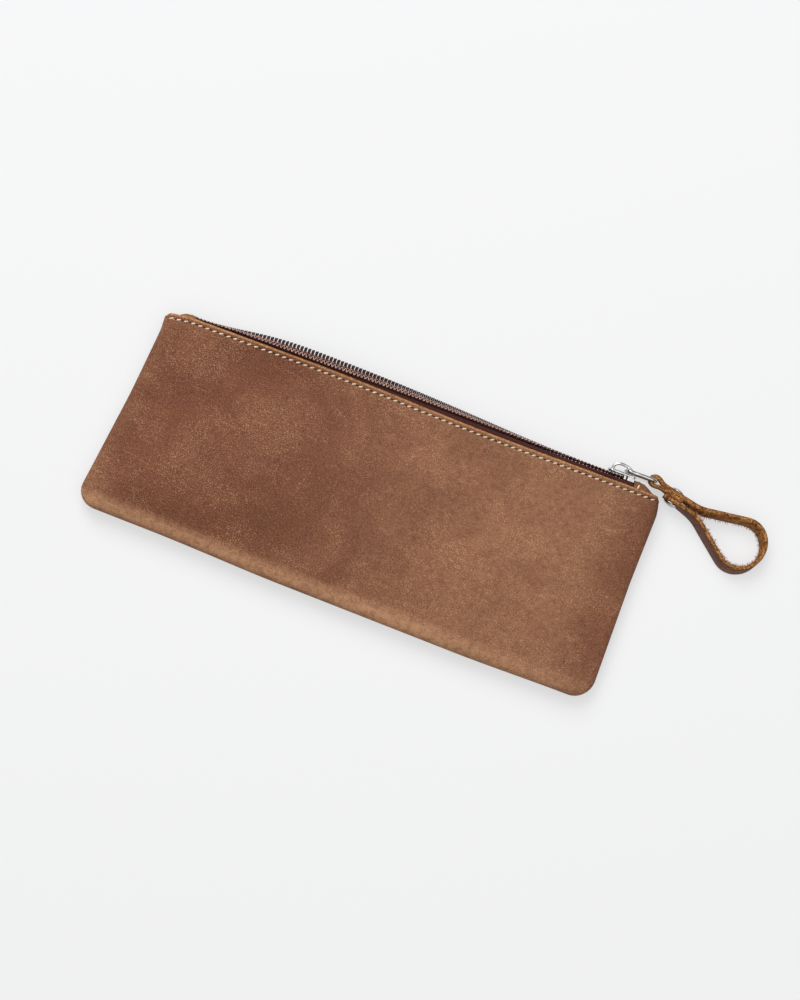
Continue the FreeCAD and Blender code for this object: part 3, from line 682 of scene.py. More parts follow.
def panel(name, side):
    points, faces, kinds, wear_and_shade = [], [], [], []

    def vertex(x, y, height):
        sunk = height - sink(x, y) * (1.0 if side > 0 else BACK_SHARE) * height / OUTER_FACE
        points.append((*drape(x, y), MID_Z + side * sunk))
        wear_and_shade.append(panel_wear_and_shade(x, y))
        return len(points) - 1

    def strip(rows, kind):
        for one, two in zip(rows, rows[1:]):
            for k in range(len(one) - 1):
                faces.append((one[k], one[k + 1], two[k + 1], two[k]))
                kinds.append(kind)

    def skin(rim, top_y, kind):
        """Rings of the rim and the grid of the middle; gives the points along mouth and seam."""
        rows, rings, grid = ROWS + [top_y], [], []
        groove = 1.0 if kind == GRAIN else 0.0
        for inset, height in rim:
            puffed, line = between(inset, 3, 9), groove * between(inset, 0.3, 1.8)
            rings.append([vertex(x, y, height + puffed * swell(x, y, side) - line * pressed(y))
                          for x, y in outline_ring(inset, rows)])
        strip(rings, kind)
        for y in rows:
            face, reach = rim[-1][1] - groove * pressed(y), half_width(y) - CORNER
            grid.append([vertex(f * reach, y, face + swell(f * reach, y, side)) for f in COLUMNS])
        strip(grid, kind)
        return [ring[0] for ring in rings] + grid[-1] + [ring[-1] for ring in reversed(rings)], rings[0]

    shown, shown_seam = skin(OUTER_RIM, MOUTH_Y - EDGE_DROP, GRAIN)
    hidden, hidden_seam = skin(INNER_RIM, MOUTH_Y - INNER_DROP, LINING)
    rows = [shown]
    for share, drop in EDGE_ROWS:
        row = []
        for one, two in zip(shown, hidden):
            spot = Vector(points[one]).lerp(Vector(points[two]), share)
            fuzz = FUZZ * noise.noise(Vector((spot.x / FUZZ_GRAIN, share * FUZZ_ROWS, side)))
            row.append(len(points))
            points.append((spot.x, spot.y - drop * EDGE_CROWN + EDGE_CROWN * share + fuzz, spot.z))
            wear_and_shade.append(EDGE_WEAR)
        rows.append(row)
    strip(rows + [hidden], CUT_EDGE)
    strip([shown_seam, hidden_seam], CUT_EDGE)
    return make_piece(name, points, faces, [panel_leather, edge_leather, lining_leather], kinds, wear_and_shade)


seat(panel("front_leather", 1), "case", "case_leather", "front_panel")
seat(panel("back_leather", -1), "case", "case_leather", "back_panel")

# %% [markdown]
# The case is sewn with a thick waxed thread. A whole lockstitch could be swept as one long tube, but
# only its short bars show: each is a plump grain of thread that dives into a needle hole at both ends.
# So one function makes a grain, and one a flat dark patch of painted shade for a needle hole, and every
# seam below is a row of these.

# %% A stitch and the painted shade of a needle hole
THREAD, HOLE_SHADE = 0, 1
GRAIN_STEPS, GRAIN_SIDES = 8, 8
GRAIN_THIN = 0.12
GRAIN_DIVE = 0.42
TAPER, DIVE_POWER = 3.2, 4
SHADE_PATCH_SIDES, SHADE_PATCH_DEPTH = 10, 0.25


def grain_of_thread(build, centre, along, up, length, width, height):
    """A stitch: a blob of thread with tapered ends that turn down."""
    across = up.cross(along)
    rings = []
    for step in range(GRAIN_STEPS + 1):
        share = -1 + 2 * step / GRAIN_STEPS
        fat = max(GRAIN_THIN, (1 - abs(share) ** TAPER)) ** 0.5
        middle = centre + along * (share * length / 2) - up * (GRAIN_DIVE * abs(share) ** DIVE_POWER)
        wide, tall = width / 2 * fat, height / 2 * fat
        rings.append([middle + across * (math.cos(t) * wide) + up * (math.sin(t) * tall)
                      for t in around(GRAIN_SIDES)])
    build.loops(rings, THREAD)


# A flat near-black patch, sunk a little, that paints the shade in a needle hole or in the groove between
# stitches.
def flat_shade_patch(build, centre, along, up, length, width):
    across = up.cross(along)
    ring = [centre + along * (math.cos(t) * length / 2) + across * (math.sin(t) * width / 2)
            for t in around(SHADE_PATCH_SIDES)]
    build.loops([[p - up * SHADE_PATCH_DEPTH for p in ring], ring], HOLE_SHADE)


print("a grain of thread has", (GRAIN_STEPS + 1) * GRAIN_SIDES, "points")

# %% [markdown]
# Along the mouth cream stitches lie in the pressed line, each a little across it, as a lockstitch does,
# and no two lean quite alike. An array modifier would make them all the same. So each has its own place:
# it follows the bowed edge and the fall of the leather at the rim, and a seeded random number shifts and
# turns it.

# %% Mouth stitches
STITCHES = 70
STITCH_LENGTH, STITCH_WIDTH = 2.4, 0.66
STITCH_LEAN, LEAN_SPREAD, SHIFT_SPREAD = 24.0, 3, 0.08
STITCH_INSET = 1.6
FRONT_STITCH, BACK_STITCH = (0.2, 0.52), (0.12, 0.4)
# Size, lift and run of the dark patches between the stitches, which paint the shade in the pressed groove.
GROOVE_SHADE_LENGTH, GROOVE_SHADE_WIDTH, GROOVE_SHADE_LIFT = 1.9, 0.72, 0.1
GROOVE_SHADE_RUN = (0.99, -0.1)
SLOPE_HALF = 0.6
RIM_SIDE = 5


def seam_height(x, side):
    """Height of the pressed line over the middle of the case; it falls off at the rim."""
    inset = half_width(STITCH_Y) - abs(x)
    height = OUTER_FACE
    for (near, low), (far, high) in zip(OUTER_RIM[RIM_SIDE:], OUTER_RIM[RIM_SIDE + 1:]):
        if near <= inset < far:
            height = low + (high - low) * (inset - near) / (far - near)
    return height - PRESSED + swell(x, STITCH_Y, side)


def mouth_stitches(name, side):
    build = Builder()
    reach = HALF_MOUTH - STITCH_INSET
    proud, tall = FRONT_STITCH if side > 0 else BACK_STITCH
    for k in range(STITCHES):
        x = -reach + 2 * reach * (k + 0.5) / STITCHES
        lean = math.radians(STITCH_LEAN + random.uniform(-LEAN_SPREAD, LEAN_SPREAD))
        slope = seam_height(x + SLOPE_HALF, side) - seam_height(x - SLOPE_HALF, side)
        slope = slope / (2 * SLOPE_HALF)
        along = Vector((math.cos(lean), math.sin(lean), side * slope)).normalized()
        up = Vector((-slope, 0, side)).normalized()
        shift = random.uniform(-SHIFT_SPREAD, SHIFT_SPREAD)
        face = MID_Z + side * seam_height(x, side)
        centre = Vector((x + shift, STITCH_Y + bow(x), face + side * proud))
        grain_of_thread(build, centre, along, up, STITCH_LENGTH, STITCH_WIDTH, tall)
        # Between two stitches lies a dark patch of painted shade for the groove and its needle holes.
        if k < STITCHES - 1:
            between_x = x + reach / STITCHES
            lifted = seam_height(between_x, side) + GROOVE_SHADE_LIFT
            slot = Vector((between_x, STITCH_Y + bow(between_x), MID_Z + side * lifted))
            groove_shade_along = Vector((*GROOVE_SHADE_RUN, side * slope)).normalized()
            flat_shade_patch(build, slot, groove_shade_along, up, GROOVE_SHADE_LENGTH, GROOVE_SHADE_WIDTH)
    return build.piece(name, [cream_thread, painted_hole_shade])


seat(mouth_stitches("front_thread", 1), "case", "thread", "front_stitching")
seat(mouth_stitches("back_thread", -1), "case", "thread", "back_stitching")

# %% [markdown]
# The side and base seams are sewn from inside, out of sight unless the zip is open. They could be left
# out, but the open mouth lets a viewer look in. Short bars of thread lie on both seam allowances and
# follow the outline.

# %% Seam stitches
SEAM_INSET = 3.4
SEAM_TOP, SEAM_LOW, SEAM_HALF = 44, -33, 105
SEAM_PITCH = 8.0
SEAM_LIFT = 1.72
SEAM_BAR = (2.8, 0.7, 0.5)


def seam_stitches():
    build = Builder()
    side_run = [Vector((half_width(y) - SEAM_INSET, y)) for y in (SEAM_TOP, SEAM_LOW)]
    base_run = [Vector((x, BASE_Y + SEAM_INSET)) for x in (-SEAM_HALF, SEAM_HALF)]
    for start, end in ([Vector((-p.x, p.y)) for p in side_run], base_run, side_run):
        span = end - start
        count = int(span.length / SEAM_PITCH)
        along = Vector((span.x, span.y, 0)).normalized()
        for k in range(count):
            spot = start + span * ((k + 0.5) / count)
            for side in (1, -1):
                centre = Vector((*drape(spot.x, spot.y), MID_Z + side * SEAM_LIFT))
                grain_of_thread(build, centre, along, Vector((0, 0, side)), *SEAM_BAR)
    return build.piece("seam_thread", [cream_thread])


seat(seam_stitches(), "case", "thread", "side_seam_stitching")

# %% [markdown]
# A zip stringer is a tape with a coil sewn to its edge. Its free flap hangs on a fold line at the mouth.
# Where the zip is closed it lies across the mouth and meets the other row, and where the zip is open it
# swings out. One way is to draw the open zip's two edges as curves. Here a single function gives any
# point of a flap from its place along the zip, its reach from the fold line and its lift over the cloth.
# So the tape, the coil and the sewing thread all bend together.

# %% Stringer shape
FOLD_Y = 48.1
FLAP = 4.8
ZIP_HALF = 102.0
NOSE_X = 89.2
OPEN_PEAK = -51.0
OPEN_TURN = 69.0
OPEN_BROADER = 0.17
NOSE_SPREAD, END_SPREAD = 1.5, 0.65
SPREAD_RUN, MERGE_RUN = 12.0, 7.0


def opened(x):
    """Share of the opening at a place along the zip: 1 where the mouth is widest, 0 at the two ends."""
    return between(x, NOSE_X if x > OPEN_PEAK else -ZIP_HALF, OPEN_PEAK)


def spread(x):
    """How far the slider's nose and the left tab press the two fold lines apart."""
    def fade(start, end):
        return max(0.0, min(1.0, (end - x) / (end - start)))
    inside = fade(NOSE_X, NOSE_X + MERGE_RUN) * (1 - fade(NOSE_X - SPREAD_RUN, NOSE_X))
    return NOSE_SPREAD * inside + END_SPREAD * fade(-ZIP_HALF, -ZIP_HALF + SPREAD_RUN)


def on_stringer(x, reach, lift, side):
    """Point on a flap: reach out from its fold line, and lift over its outer face."""
    turn = math.radians(90 - OPEN_TURN * opened(x))
    reach = reach * (1 + OPEN_BROADER * opened(x))
    fold = Vector((x, FOLD_Y, MID_Z + side * (FLAP + spread(x))))
    outwards = Vector((0, math.cos(turn), -side * math.sin(turn)))
    upwards = Vector((0, math.sin(turn), side * math.cos(turn)))
    return fold + outwards * reach + upwards * lift


print("edges of the open flaps at the widest place:", [on_stringer(OPEN_PEAK, 5.0, 1.0, s) for s in (1, -1)])

# %% [markdown]
# The two rows of teeth mesh: each tooth of one row stands between two of the other. The rows could be
# mirrored and one of them pushed along, but each half of a flap needs only the teeth on its own stretch.
# So the teeth's places are listed first. Their legs are long where the zip is open, and short where the
# slider stands at either end of its way.

# %% Teeth
PITCH = 1.7
COIL_TURNS, COIL_START, COIL_MARGIN = 121, 0.5, 0.4
COIL_ROOT, COIL_NARROWER = 1.1, 0.85
NARROW_FROM, NARROW_TO = 76, 86


def coil_root(x):
    """Where the coil's legs start on the flap: wide in the open stretch, narrow under the slider."""
    return COIL_ROOT + COIL_NARROWER * between(abs(x), NARROW_FROM, NARROW_TO)


def tooth_places(side, low, high):
    """Places of the teeth along one half of a flap; the back row is half a pitch behind the front row."""
    start = -ZIP_HALF + COIL_START + (0.0 if side > 0 else PITCH / 2)
    places = [start + PITCH * k for k in range(COIL_TURNS)]
    last = min(high - COIL_MARGIN, ZIP_HALF - PITCH)
    return [x for x in places if low - COIL_MARGIN < x <= last]


print("teeth in the two rows:", [len(tooth_places(side, -ZIP_HALF, ZIP_HALF)) for side in (1, -1)])

# %% [markdown]
# The coil is one long nylon thread, wound so that each turn is a tooth: a leg out over the cloth, a head
# at the edge, and a leg back underneath. Single teeth would be quicker, but the unbroken winding is what
# the eye knows. Two wavy threads sew it down.

# %% Coil and its sewing thread
COIL_STEPS, COIL_SIDES = 14, 7
COIL_HEAD, COIL_LIFT, COIL_RISE = 5.0, 1.02, 0.53
WIRE_HALF, HEAD_FATTER = 0.33, 0.08
CROSS_FROM, CROSS_TO = 0.62 * math.pi, 1.38 * math.pi
SEWN_STEPS, SEWN_SIDES = 8, 5
SEWN_LIFT, SEWN_RISE = 1.44, 0.26
SEWN_LANES = ((0.95, 0.72, 0.2), (2.05, 0.22, 0.14))
CLOTH, NYLON, SEWING = 0, 1, 2


def wind_coil(build, teeth, side):
    path, widths = [], []
    for x in teeth:
        root = coil_root(x)
        for turn in around(COIL_STEPS):
            move = PITCH * between(turn, CROSS_FROM, CROSS_TO)
            reach = (COIL_HEAD + root) / 2 + (COIL_HEAD - root) / 2 * math.cos(turn)
            path.append(on_stringer(x + move, reach, COIL_LIFT + COIL_RISE * math.sin(turn), side))
            widths.append(WIRE_HALF + HEAD_FATTER * max(0.0, math.cos(turn)))
    build.loops(tube_rings(path, widths, COIL_SIDES), NYLON)


def sew_coil(build, teeth, side):
    for lane, sway, thick in SEWN_LANES:
        curl = []
        for x in teeth:
            for step, turn in enumerate(around(SEWN_STEPS)):
                reach = coil_root(x) + lane + sway * math.sin(turn)
                lift = SEWN_LIFT + SEWN_RISE * math.cos(turn)
                curl.append(on_stringer(x + PITCH * step / SEWN_STEPS, reach, lift, side))
        build.loops(tube_rings(curl, [thick] * len(curl), SEWN_SIDES), SEWING)


print("a tooth has", COIL_STEPS, "rings of", COIL_SIDES, "points; threads that sew it down:", len(SEWN_LANES))

# %% [markdown]
# The tape has two parts. The sewn strip lies under the panel and stays with the case, and the free flap
# carries the coil. Each flap is made in two halves that meet where the mouth is widest; the halves ride on
# no body.

# %% Flaps and sewn tape
FLAP_STEP, TAPE_STEP = 1.2, 2.0
FLAP_TOP = [(0.0, 0.25), (0.8, 0.25), (1.6, 0.25), (2.4, 0.25), (3.2, 0.25), (3.75, 0.22)]
FLAP_UNDER = [(reach, -lift) for reach, lift in reversed(FLAP_TOP)]
FLAP_SECTION = [(-0.25, 0.0)] + FLAP_TOP + [(3.9, 0.0)] + FLAP_UNDER
TAPE_TOP = [(36.0, 0.24, 0.0), (44.0, 0.24, 0.0), (46.4, 0.25, 0.0), (47.6, 0.28, 0.75), (48.15, 0.26, 1.0)]
TAPE_UNDER = [(y, -lift, share) for y, lift, share in reversed(TAPE_TOP)]
TAPE_SECTION = TAPE_TOP + [(48.35, 0.0, 1.0)] + TAPE_UNDER


def stations(start, end, step):
    count = max(2, int(abs(end - start) / step))
    return [start + (end - start) * k / count for k in range(count + 1)]


def flap_half(name, side, start, end):
    build = Builder()
    build.loops([[on_stringer(x, reach, lift, side) for reach, lift in FLAP_SECTION]
                 for x in stations(start, end, FLAP_STEP)], CLOTH)
    teeth = tooth_places(side, min(start, end), max(start, end))
    wind_coil(build, teeth, side)
    sew_coil(build, teeth, side)
    return build.piece(name, [tape_cloth, coil_nylon, coil_thread])


def sewn_strip(name, side):
    """Tape under the panel, and the rounded bead along its fold line, which follows the spread."""
    build = Builder()
    level = MID_Z + side * FLAP
    rings = []
    for x in stations(-ZIP_HALF, ZIP_HALF, TAPE_STEP):
        rise = side * spread(x)
        rings.append([Vector((x, y, level + side * lift + rise * share)) for y, lift, share in TAPE_SECTION])
    build.loops(rings, CLOTH)
    return build.piece(name, [tape_cloth])


ENDS = {"left": (-ZIP_HALF, -ZIP_HALF), "right": (ZIP_HALF, NOSE_X)}
for word, side in (("front", 1), ("back", -1)):
    for hand, (outer, far) in ENDS.items():
        half = flap_half(f"{word}_flap_{hand}", side, outer, OPEN_PEAK)
        height = (MID_Z + side * FLAP) * MM
        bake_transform(half)
        seat(half, None, "zip_coil", f"{word}_zip_coil", f"{word}_zip_tape")
    seat(sewn_strip(f"{word}_tape_sewn", side), "case", "zip_tape")

# %% [markdown]
# At both ends of the zip a small piece of leather is folded over the mouth and sewn down. A bent plane
# would do for a crisp fold, but this one is thick and soft. So the line of its arch is drawn first: up
# one leg, round a soft shoulder, over the top and down again. Each tab slopes down to the mouth towards
# its far end.

# %% Tab's arch
TAB_ROUND = 3.0
TAB_HALF = FLAP + 0.25
TAB_SLOPE, SLOPE_FROM, SLOPE_TO = 0.82, 3.4, 10.6
TAB_LEG = (38.0, 40.5, 43.0, 45.0)
TAB_TOP = (0.9, 1.7)
TAB_BEND_STEPS = 8


def tab_arch(rise):
    """Line of the arch's outer face, from one sewn leg over the top to the other, as (y, z, outward)."""
    top = MOUTH_Y + rise
    line = [(y, TAB_HALF, (0, 1)) for y in TAB_LEG]
    for k in range(TAB_BEND_STEPS + 1):
        turn = math.pi / 2 * (1 - k / TAB_BEND_STEPS)
        out = (math.cos(turn), math.sin(turn))
        line.append((top - TAB_ROUND + TAB_ROUND * out[0], TAB_HALF - TAB_ROUND + TAB_ROUND * out[1], out))
    line += [(top, TAB_HALF - TAB_ROUND - step, (1, 0)) for step in TAB_TOP]
    return line + [(y, -z, (oy, -oz)) for y, z, (oy, oz) in reversed(line)]


def tab_rise(rise, run):
    """Rise of the arch over the mouth at a run along the tab."""
    return rise * (1 - TAB_SLOPE * between(run, SLOPE_FROM, SLOPE_TO))


print("tab's arch:", len(tab_arch(0.0)), "points")

# %% [markdown]
# Along that arch runs the band's own section, with its raw cut edges. A solidify modifier would leave
# those edges sharp; a drawn section can round them, and noise makes the thick leather a little uneven. A
# cap closes the far end.

# %% Band of a tab
TAB_LENGTH, TAB_THICK = 10.2, 1.2
TAB_UNEVEN, LUMP_LONG, LUMP_WIDE, LUMP_SHIFT = 0.06, 2.5, 2, 3
TAB_SECTION = [(0.12, 0.0), (2.5, 0.0), (4.6, 0.0), (6.4, 0.0), (8.2, 0.0), (TAB_LENGTH - 0.3, 0.05),
               (TAB_LENGTH, 0.3), (TAB_LENGTH, 0.92), (TAB_LENGTH - 0.2, TAB_THICK), (8.0, TAB_THICK),
               (6.2, TAB_THICK), (4.4, TAB_THICK), (0.2, TAB_THICK), (0.0, 0.9), (0.0, 0.25)]
TAB_KINDS = [GRAIN] * 5 + [CUT_EDGE] * 3 + [LINING] * 4 + [CUT_EDGE] * 3
CAP_LAYERS = ((TAB_LENGTH - 0.15, 0.06), (TAB_LENGTH, 0.12), (TAB_LENGTH, 0.48), (TAB_LENGTH - 0.05, 0.72))
CAP_FROM_Y, CAP_DEEP, CAP_MID = 43.0, 0.4, 2.0


def end_tab(name, side, rise):
    build = Builder()
    start = side * ZIP_HALF
    lines = [tab_arch(tab_rise(rise, run)) for run, deep in TAB_SECTION]
    rings = []
    for at in range(len(lines[0])):
        ring = []
        for (run, deep), line in zip(TAB_SECTION, lines):
            y, z, out = line[at]
            lump = noise.noise(Vector((run / LUMP_LONG, y / LUMP_WIDE, z / LUMP_WIDE + side * LUMP_SHIFT)))
            deep = deep - TAB_UNEVEN * lump
            ring.append(Vector((start + side * run, y - out[0] * deep, MID_Z + z - out[1] * deep)))
        rings.append(ring)
    build.loops(rings, TAB_KINDS)
    low = tab_rise(rise, TAB_LENGTH)
    cap = [(y - out[0] * CAP_DEEP, z - out[1] * CAP_DEEP) for y, z, out in tab_arch(low) if y >= CAP_FROM_Y]
    mid_y = MOUTH_Y + low - CAP_MID
    layers = [[Vector((start + side * run, y + (mid_y - y) * drawn, MID_Z + z * (1 - drawn))) for y, z in cap]
              for run, drawn in CAP_LAYERS]
    build.loops(layers, GRAIN)
    return build.piece(name, [tab_leather, edge_leather, lining_leather])


print("tab's section:", len(TAB_SECTION), "points, cap of", len(CAP_LAYERS), "layers")

# %% [markdown]
# Three stitches hold each tab: one down its front face and two across its fold, with dark patches of
# painted shade for the needle holes between them. They are the same grains of thread as along the mouth,
# turned to lie on the arch.

# %% Tabs and their stitches
TAB_SEAM = 2.0
FRONT_DROP, FRONT_PRESSED, FRONT_LEAN = 2.5, 0.02, 0.16
TOP_PROUD, HOLE_SHADE_PROUD = 0.1, 0.02
TOP_STITCHES, TOP_HOLE_SHADES = (-1.05, 1.05), (-2.1, 0.0, 2.1)
FRONT_BAR, TOP_BAR, TOP_HOLE_SHADE = (2.7, 0.7, 0.5), (1.85, 0.75, 0.5), (0.5, 0.45)
TABS = (("left", -1, 4.0), ("right", 1, 3.8))


def tab_thread(name, side, rise):
    build = Builder()
    x, top = side * (ZIP_HALF + TAB_SEAM), MOUTH_Y + rise
    up_z, up_y = Vector((0, 0, 1)), Vector((0, 1, 0))
    front = Vector((x, top - FRONT_DROP, MID_Z + TAB_HALF - FRONT_PRESSED))
    grain_of_thread(build, front, Vector((FRONT_LEAN, 1, 0)).normalized(), up_z, *FRONT_BAR)
    for z in TOP_STITCHES:
        grain_of_thread(build, Vector((x, top + TOP_PROUD, MID_Z + z)), up_z, up_y, *TOP_BAR)
    # Dark patches of painted shade for the needle holes across the fold.
    for z in TOP_HOLE_SHADES:
        flat_shade_patch(build, Vector((x, top + HOLE_SHADE_PROUD, MID_Z + z)), up_z, up_y, *TOP_HOLE_SHADE)
    return build.piece(name, [cream_thread, painted_hole_shade])


for word, side, rise in TABS:
    seat(end_tab(f"{word}_tab_leather", side, rise), "case", "tab_leather", f"{word}_end_tab")
    seat(tab_thread(f"{word}_tab_thread", side, rise), "case", "thread", f"{word}_tab_stitching")

# %% [markdown]
# The slider is a small nickel casting: two plates held apart by a wedge at the nose, and flanges that
# press the two coil rows together at the tail. Boxes with a bevel modifier come close, but the plates
# taper and their corners are rounder than their edges. So a plate is an outline with its corners cut by
# arcs, skinned in layers that draw in at the top and bottom, which gives every edge the soft round of a
# plated casting.

# %% Plates with soft edges
METAL = 0
CUT_SHARE = 0.45
CORNER_PARTS = 5
SOFT_MIDDLE = 0.3


def rounded(corners, radius):
    """Outline in (x, z) with its corners cut by arcs."""
    line = []
    for k, corner in enumerate(corners):
        here = Vector(corner)
        before, after = Vector(corners[k - 1]) - here, Vector(corners[(k + 1) % len(corners)]) - here
        cut = min(radius, CUT_SHARE * before.length, CUT_SHARE * after.length)
        start, end = here + before.normalized() * cut, here + after.normalized() * cut
        for step in range(CORNER_PARTS + 1):
            t = step / CORNER_PARTS
            line.append(start * (1 - t) ** 2 + here * (2 * t * (1 - t)) + end * t ** 2)
    return line


def slab(build, outline, low, high, soft):
    """Plate between two heights along Y, with rounded edges."""
    middle = sum(outline, Vector((0, 0))) / len(outline)
    part = SOFT_MIDDLE * soft
    lower = ((low, soft), (low + part, part), (low + soft, 0.0))
    upper = ((high - soft, 0.0), (high - part, part), (high, soft))
    rings = []
    for y, inset in lower + upper:
        drawn_in = [p - (p - middle).normalized() * inset for p in outline]
        rings.append([Vector((p.x, y, MID_Z + p.y)) for p in drawn_in])
    build.loops(rings, METAL)


print("a square plate has", len(rounded([(0, 0), (1, 0), (1, 1), (0, 1)], 0.2)), "points round its edge")

# %% [markdown]
# An arched bridge on the slider holds the pull. Its line is a spline through a few places, so the arch
# is high over the nose and runs down softly to the tail. A round wire would look too thin: the real
# bridge is a flat bar with soft corners, so its section is a squared oval.

# %% Bridge
BRIDGE_HALF_WIDE, BRIDGE_HALF_THICK, BRIDGE_SQUARE = 1.3, 0.68, 0.6
BRIDGE_SIDES, SPLINE_STEPS = 16, 4
BRIDGE_KNOTS = [(1.75, -0.4), (1.85, 1.0), (2.6, 2.35), (4.2, 3.05), (6.6, 3.1), (8.8, 2.55), (10.6, 1.4),
                (11.5, 0.2), (11.7, -0.4)]


def squared(value):
    """Cosine or sine drawn out to the corners, which makes an oval squarer."""
    return math.copysign(abs(value) ** BRIDGE_SQUARE, value)


def spline(knots):
    """Smooth line through all knots."""
    path = []
    for k in range(len(knots) - 1):
        a, b, c, d = (Vector(knots[max(0, min(k + j, len(knots) - 1))]) for j in (-1, 0, 1, 2))
        for step in range(SPLINE_STEPS):
            t = step / SPLINE_STEPS
            p = 2 * b + (c - a) * t + (2 * a - 5 * b + 4 * c - d) * t ** 2
            path.append(0.5 * (p + (3 * b - a - 3 * c + d) * t ** 3))
    return path


def bridge(build, top):
    path = [Vector((p.x, top + p.y, MID_Z)) for p in spline([(NOSE_X + x, y) for x, y in BRIDGE_KNOTS])]
    rings = []
    for at, p in enumerate(path):
        run = run_at(path, at)
        across, out = Vector((0, 0, 1)), Vector((-run.y, run.x, 0))
        rings.append([p + across * (BRIDGE_HALF_WIDE * squared(math.cos(t)))
                      + out * (BRIDGE_HALF_THICK * squared(math.sin(t))) for t in around(BRIDGE_SIDES)])
    build.loops(rings, METAL)


print("bridge:", len(spline(BRIDGE_KNOTS)), "rings")

# %% [markdown]
# The slider's parts meet inside one piece, as they do in one casting. The inner plate lies in the mouth
# behind the zip's fold lines and the outer one over the coil, the wedge parts the rows at the nose, and
# two short flanges on each side close the channel at the tail, with a slit between them.

# %% Slider
TAIL_X = 101.7
WAIST_X = NOSE_X + MERGE_RUN + 0.45
PLATE_LOW, SLOT_LOW, SLOT_HIGH, PLATE_HIGH, PLATE_TOP = 46.35, 47.65, 48.55, 50.15, 51.45
NOSE_HALF, SHOULDER_HALF, TAIL_HALF = 2.6, 4.3, 3.9
PLATE_SIDE = [(NOSE_X, NOSE_HALF), (NOSE_X + 0.9, SHOULDER_HALF), (WAIST_X - 1.5, SHOULDER_HALF),
              (WAIST_X + 1.2, TAIL_HALF), (TAIL_X, TAIL_HALF)]
PLATE = [(x, -z) for x, z in PLATE_SIDE] + PLATE_SIDE[::-1]
PLATE_CORNER, PLATE_SOFT = 1.1, 0.5
FLANGES = ((WAIST_X, WAIST_X + 1.2), (WAIST_X + 1.65, TAIL_X - 0.05))
FLANGE_IN, FLANGE_TAIL, FLANGE_NOSE = 3.12, 3.85, 3.95
FLANGE_CORNER, FLANGE_SOFT = 0.3, 0.2
WEDGE = [(NOSE_X + 0.3, -0.75), (NOSE_X + 3.5, -0.12), (NOSE_X + 3.5, 0.12), (NOSE_X + 0.3, 0.75)]
WEDGE_CORNER, WEDGE_SOFT = 0.2, 0.1
OVERLAP = 0.2


def slider():
    build = Builder()
    outline = rounded(PLATE, PLATE_CORNER)
    slab(build, outline, PLATE_LOW, SLOT_LOW, PLATE_SOFT)
    slab(build, outline, PLATE_HIGH, PLATE_TOP, PLATE_SOFT)
    for z in (-1, 1):
        for start, end in FLANGES:
            wall = [(start, z * FLANGE_IN), (end, z * FLANGE_IN), (end, z * FLANGE_TAIL),
                    (start, z * FLANGE_NOSE)]
            slab(build, rounded(wall, FLANGE_CORNER), SLOT_HIGH, PLATE_HIGH + OVERLAP, FLANGE_SOFT)
    slab(build, rounded(WEDGE, WEDGE_CORNER), SLOT_LOW - OVERLAP, PLATE_HIGH + OVERLAP, WEDGE_SOFT)
    bridge(build, PLATE_TOP)
    return build.piece("slider_casting", [nickel])


seat(slider(), "slider", "slider_metal", "zip_slider")

# %% [markdown]
# The pull starts with a ring of nickel wire, bent into a rectangle and standing upright through the
# bridge. A bevelled curve would make it too; rings round a closed path keep it in the same builder as
# the rest, and turn the corners evenly.

# %% Pull ring
RING_Y = 52.75
NEAR_X, FAR_X = 97.3, 110.2
RING_HALF, RING_BEND = 5.1, 1.6
WIRE, WIRE_SIDES = 0.9, 18
BEND_STEPS = 8


def ring_path():
    """Middle line of the wire in (x, z): four corners, each a quarter turn."""
    path = []
    for x, z, start in ((FAR_X, 1, 0), (NEAR_X, 1, 90), (NEAR_X, -1, 180), (FAR_X, -1, 270)):
        middle_x = x + (RING_BEND if x == NEAR_X else -RING_BEND)
        middle_z = z * (RING_HALF - RING_BEND)
        for k in range(BEND_STEPS + 1):
            turn = math.radians(start + 90 * k / BEND_STEPS)
            path.append((middle_x + RING_BEND * math.cos(turn), middle_z + RING_BEND * math.sin(turn)))
    return path


def pull_ring():
    build = Builder()
    path, rings = ring_path(), []
    for at, (x, z) in enumerate(path):
        run = (Vector(path[(at + 1) % len(path)]) - Vector(path[at - 1])).normalized()
        out, up = Vector((run.y, 0, -run.x)), Vector((0, 1, 0))
        centre = Vector((x, RING_Y, MID_Z + z))
        rings.append([centre + (out * math.cos(t) + up * math.sin(t)) * WIRE for t in around(WIRE_SIDES)])
    build.loops(rings, METAL, closed=True)
    return build.piece("ring_wire", [nickel])


seat(pull_ring(), "pull", "ring_metal", "pull_ring")

# %% [markdown]
# The pull's strap is one strip of thick leather: folded round the ring's far bar, laid back on itself in
# layers that a rivet holds, and opened into a finger loop. A curve with a bevel would twist at the
# folds, and its length would be hard to know. So its middle line is walked like a cutter's pattern, by
# straight runs and bends, in the strap's own flat frame.

# %% A strip walked by runs and bends
RUN_STEP, BEND_STEP, BEND_TURN, FEWEST_BENDS = 0.9, 0.7, 14, 3


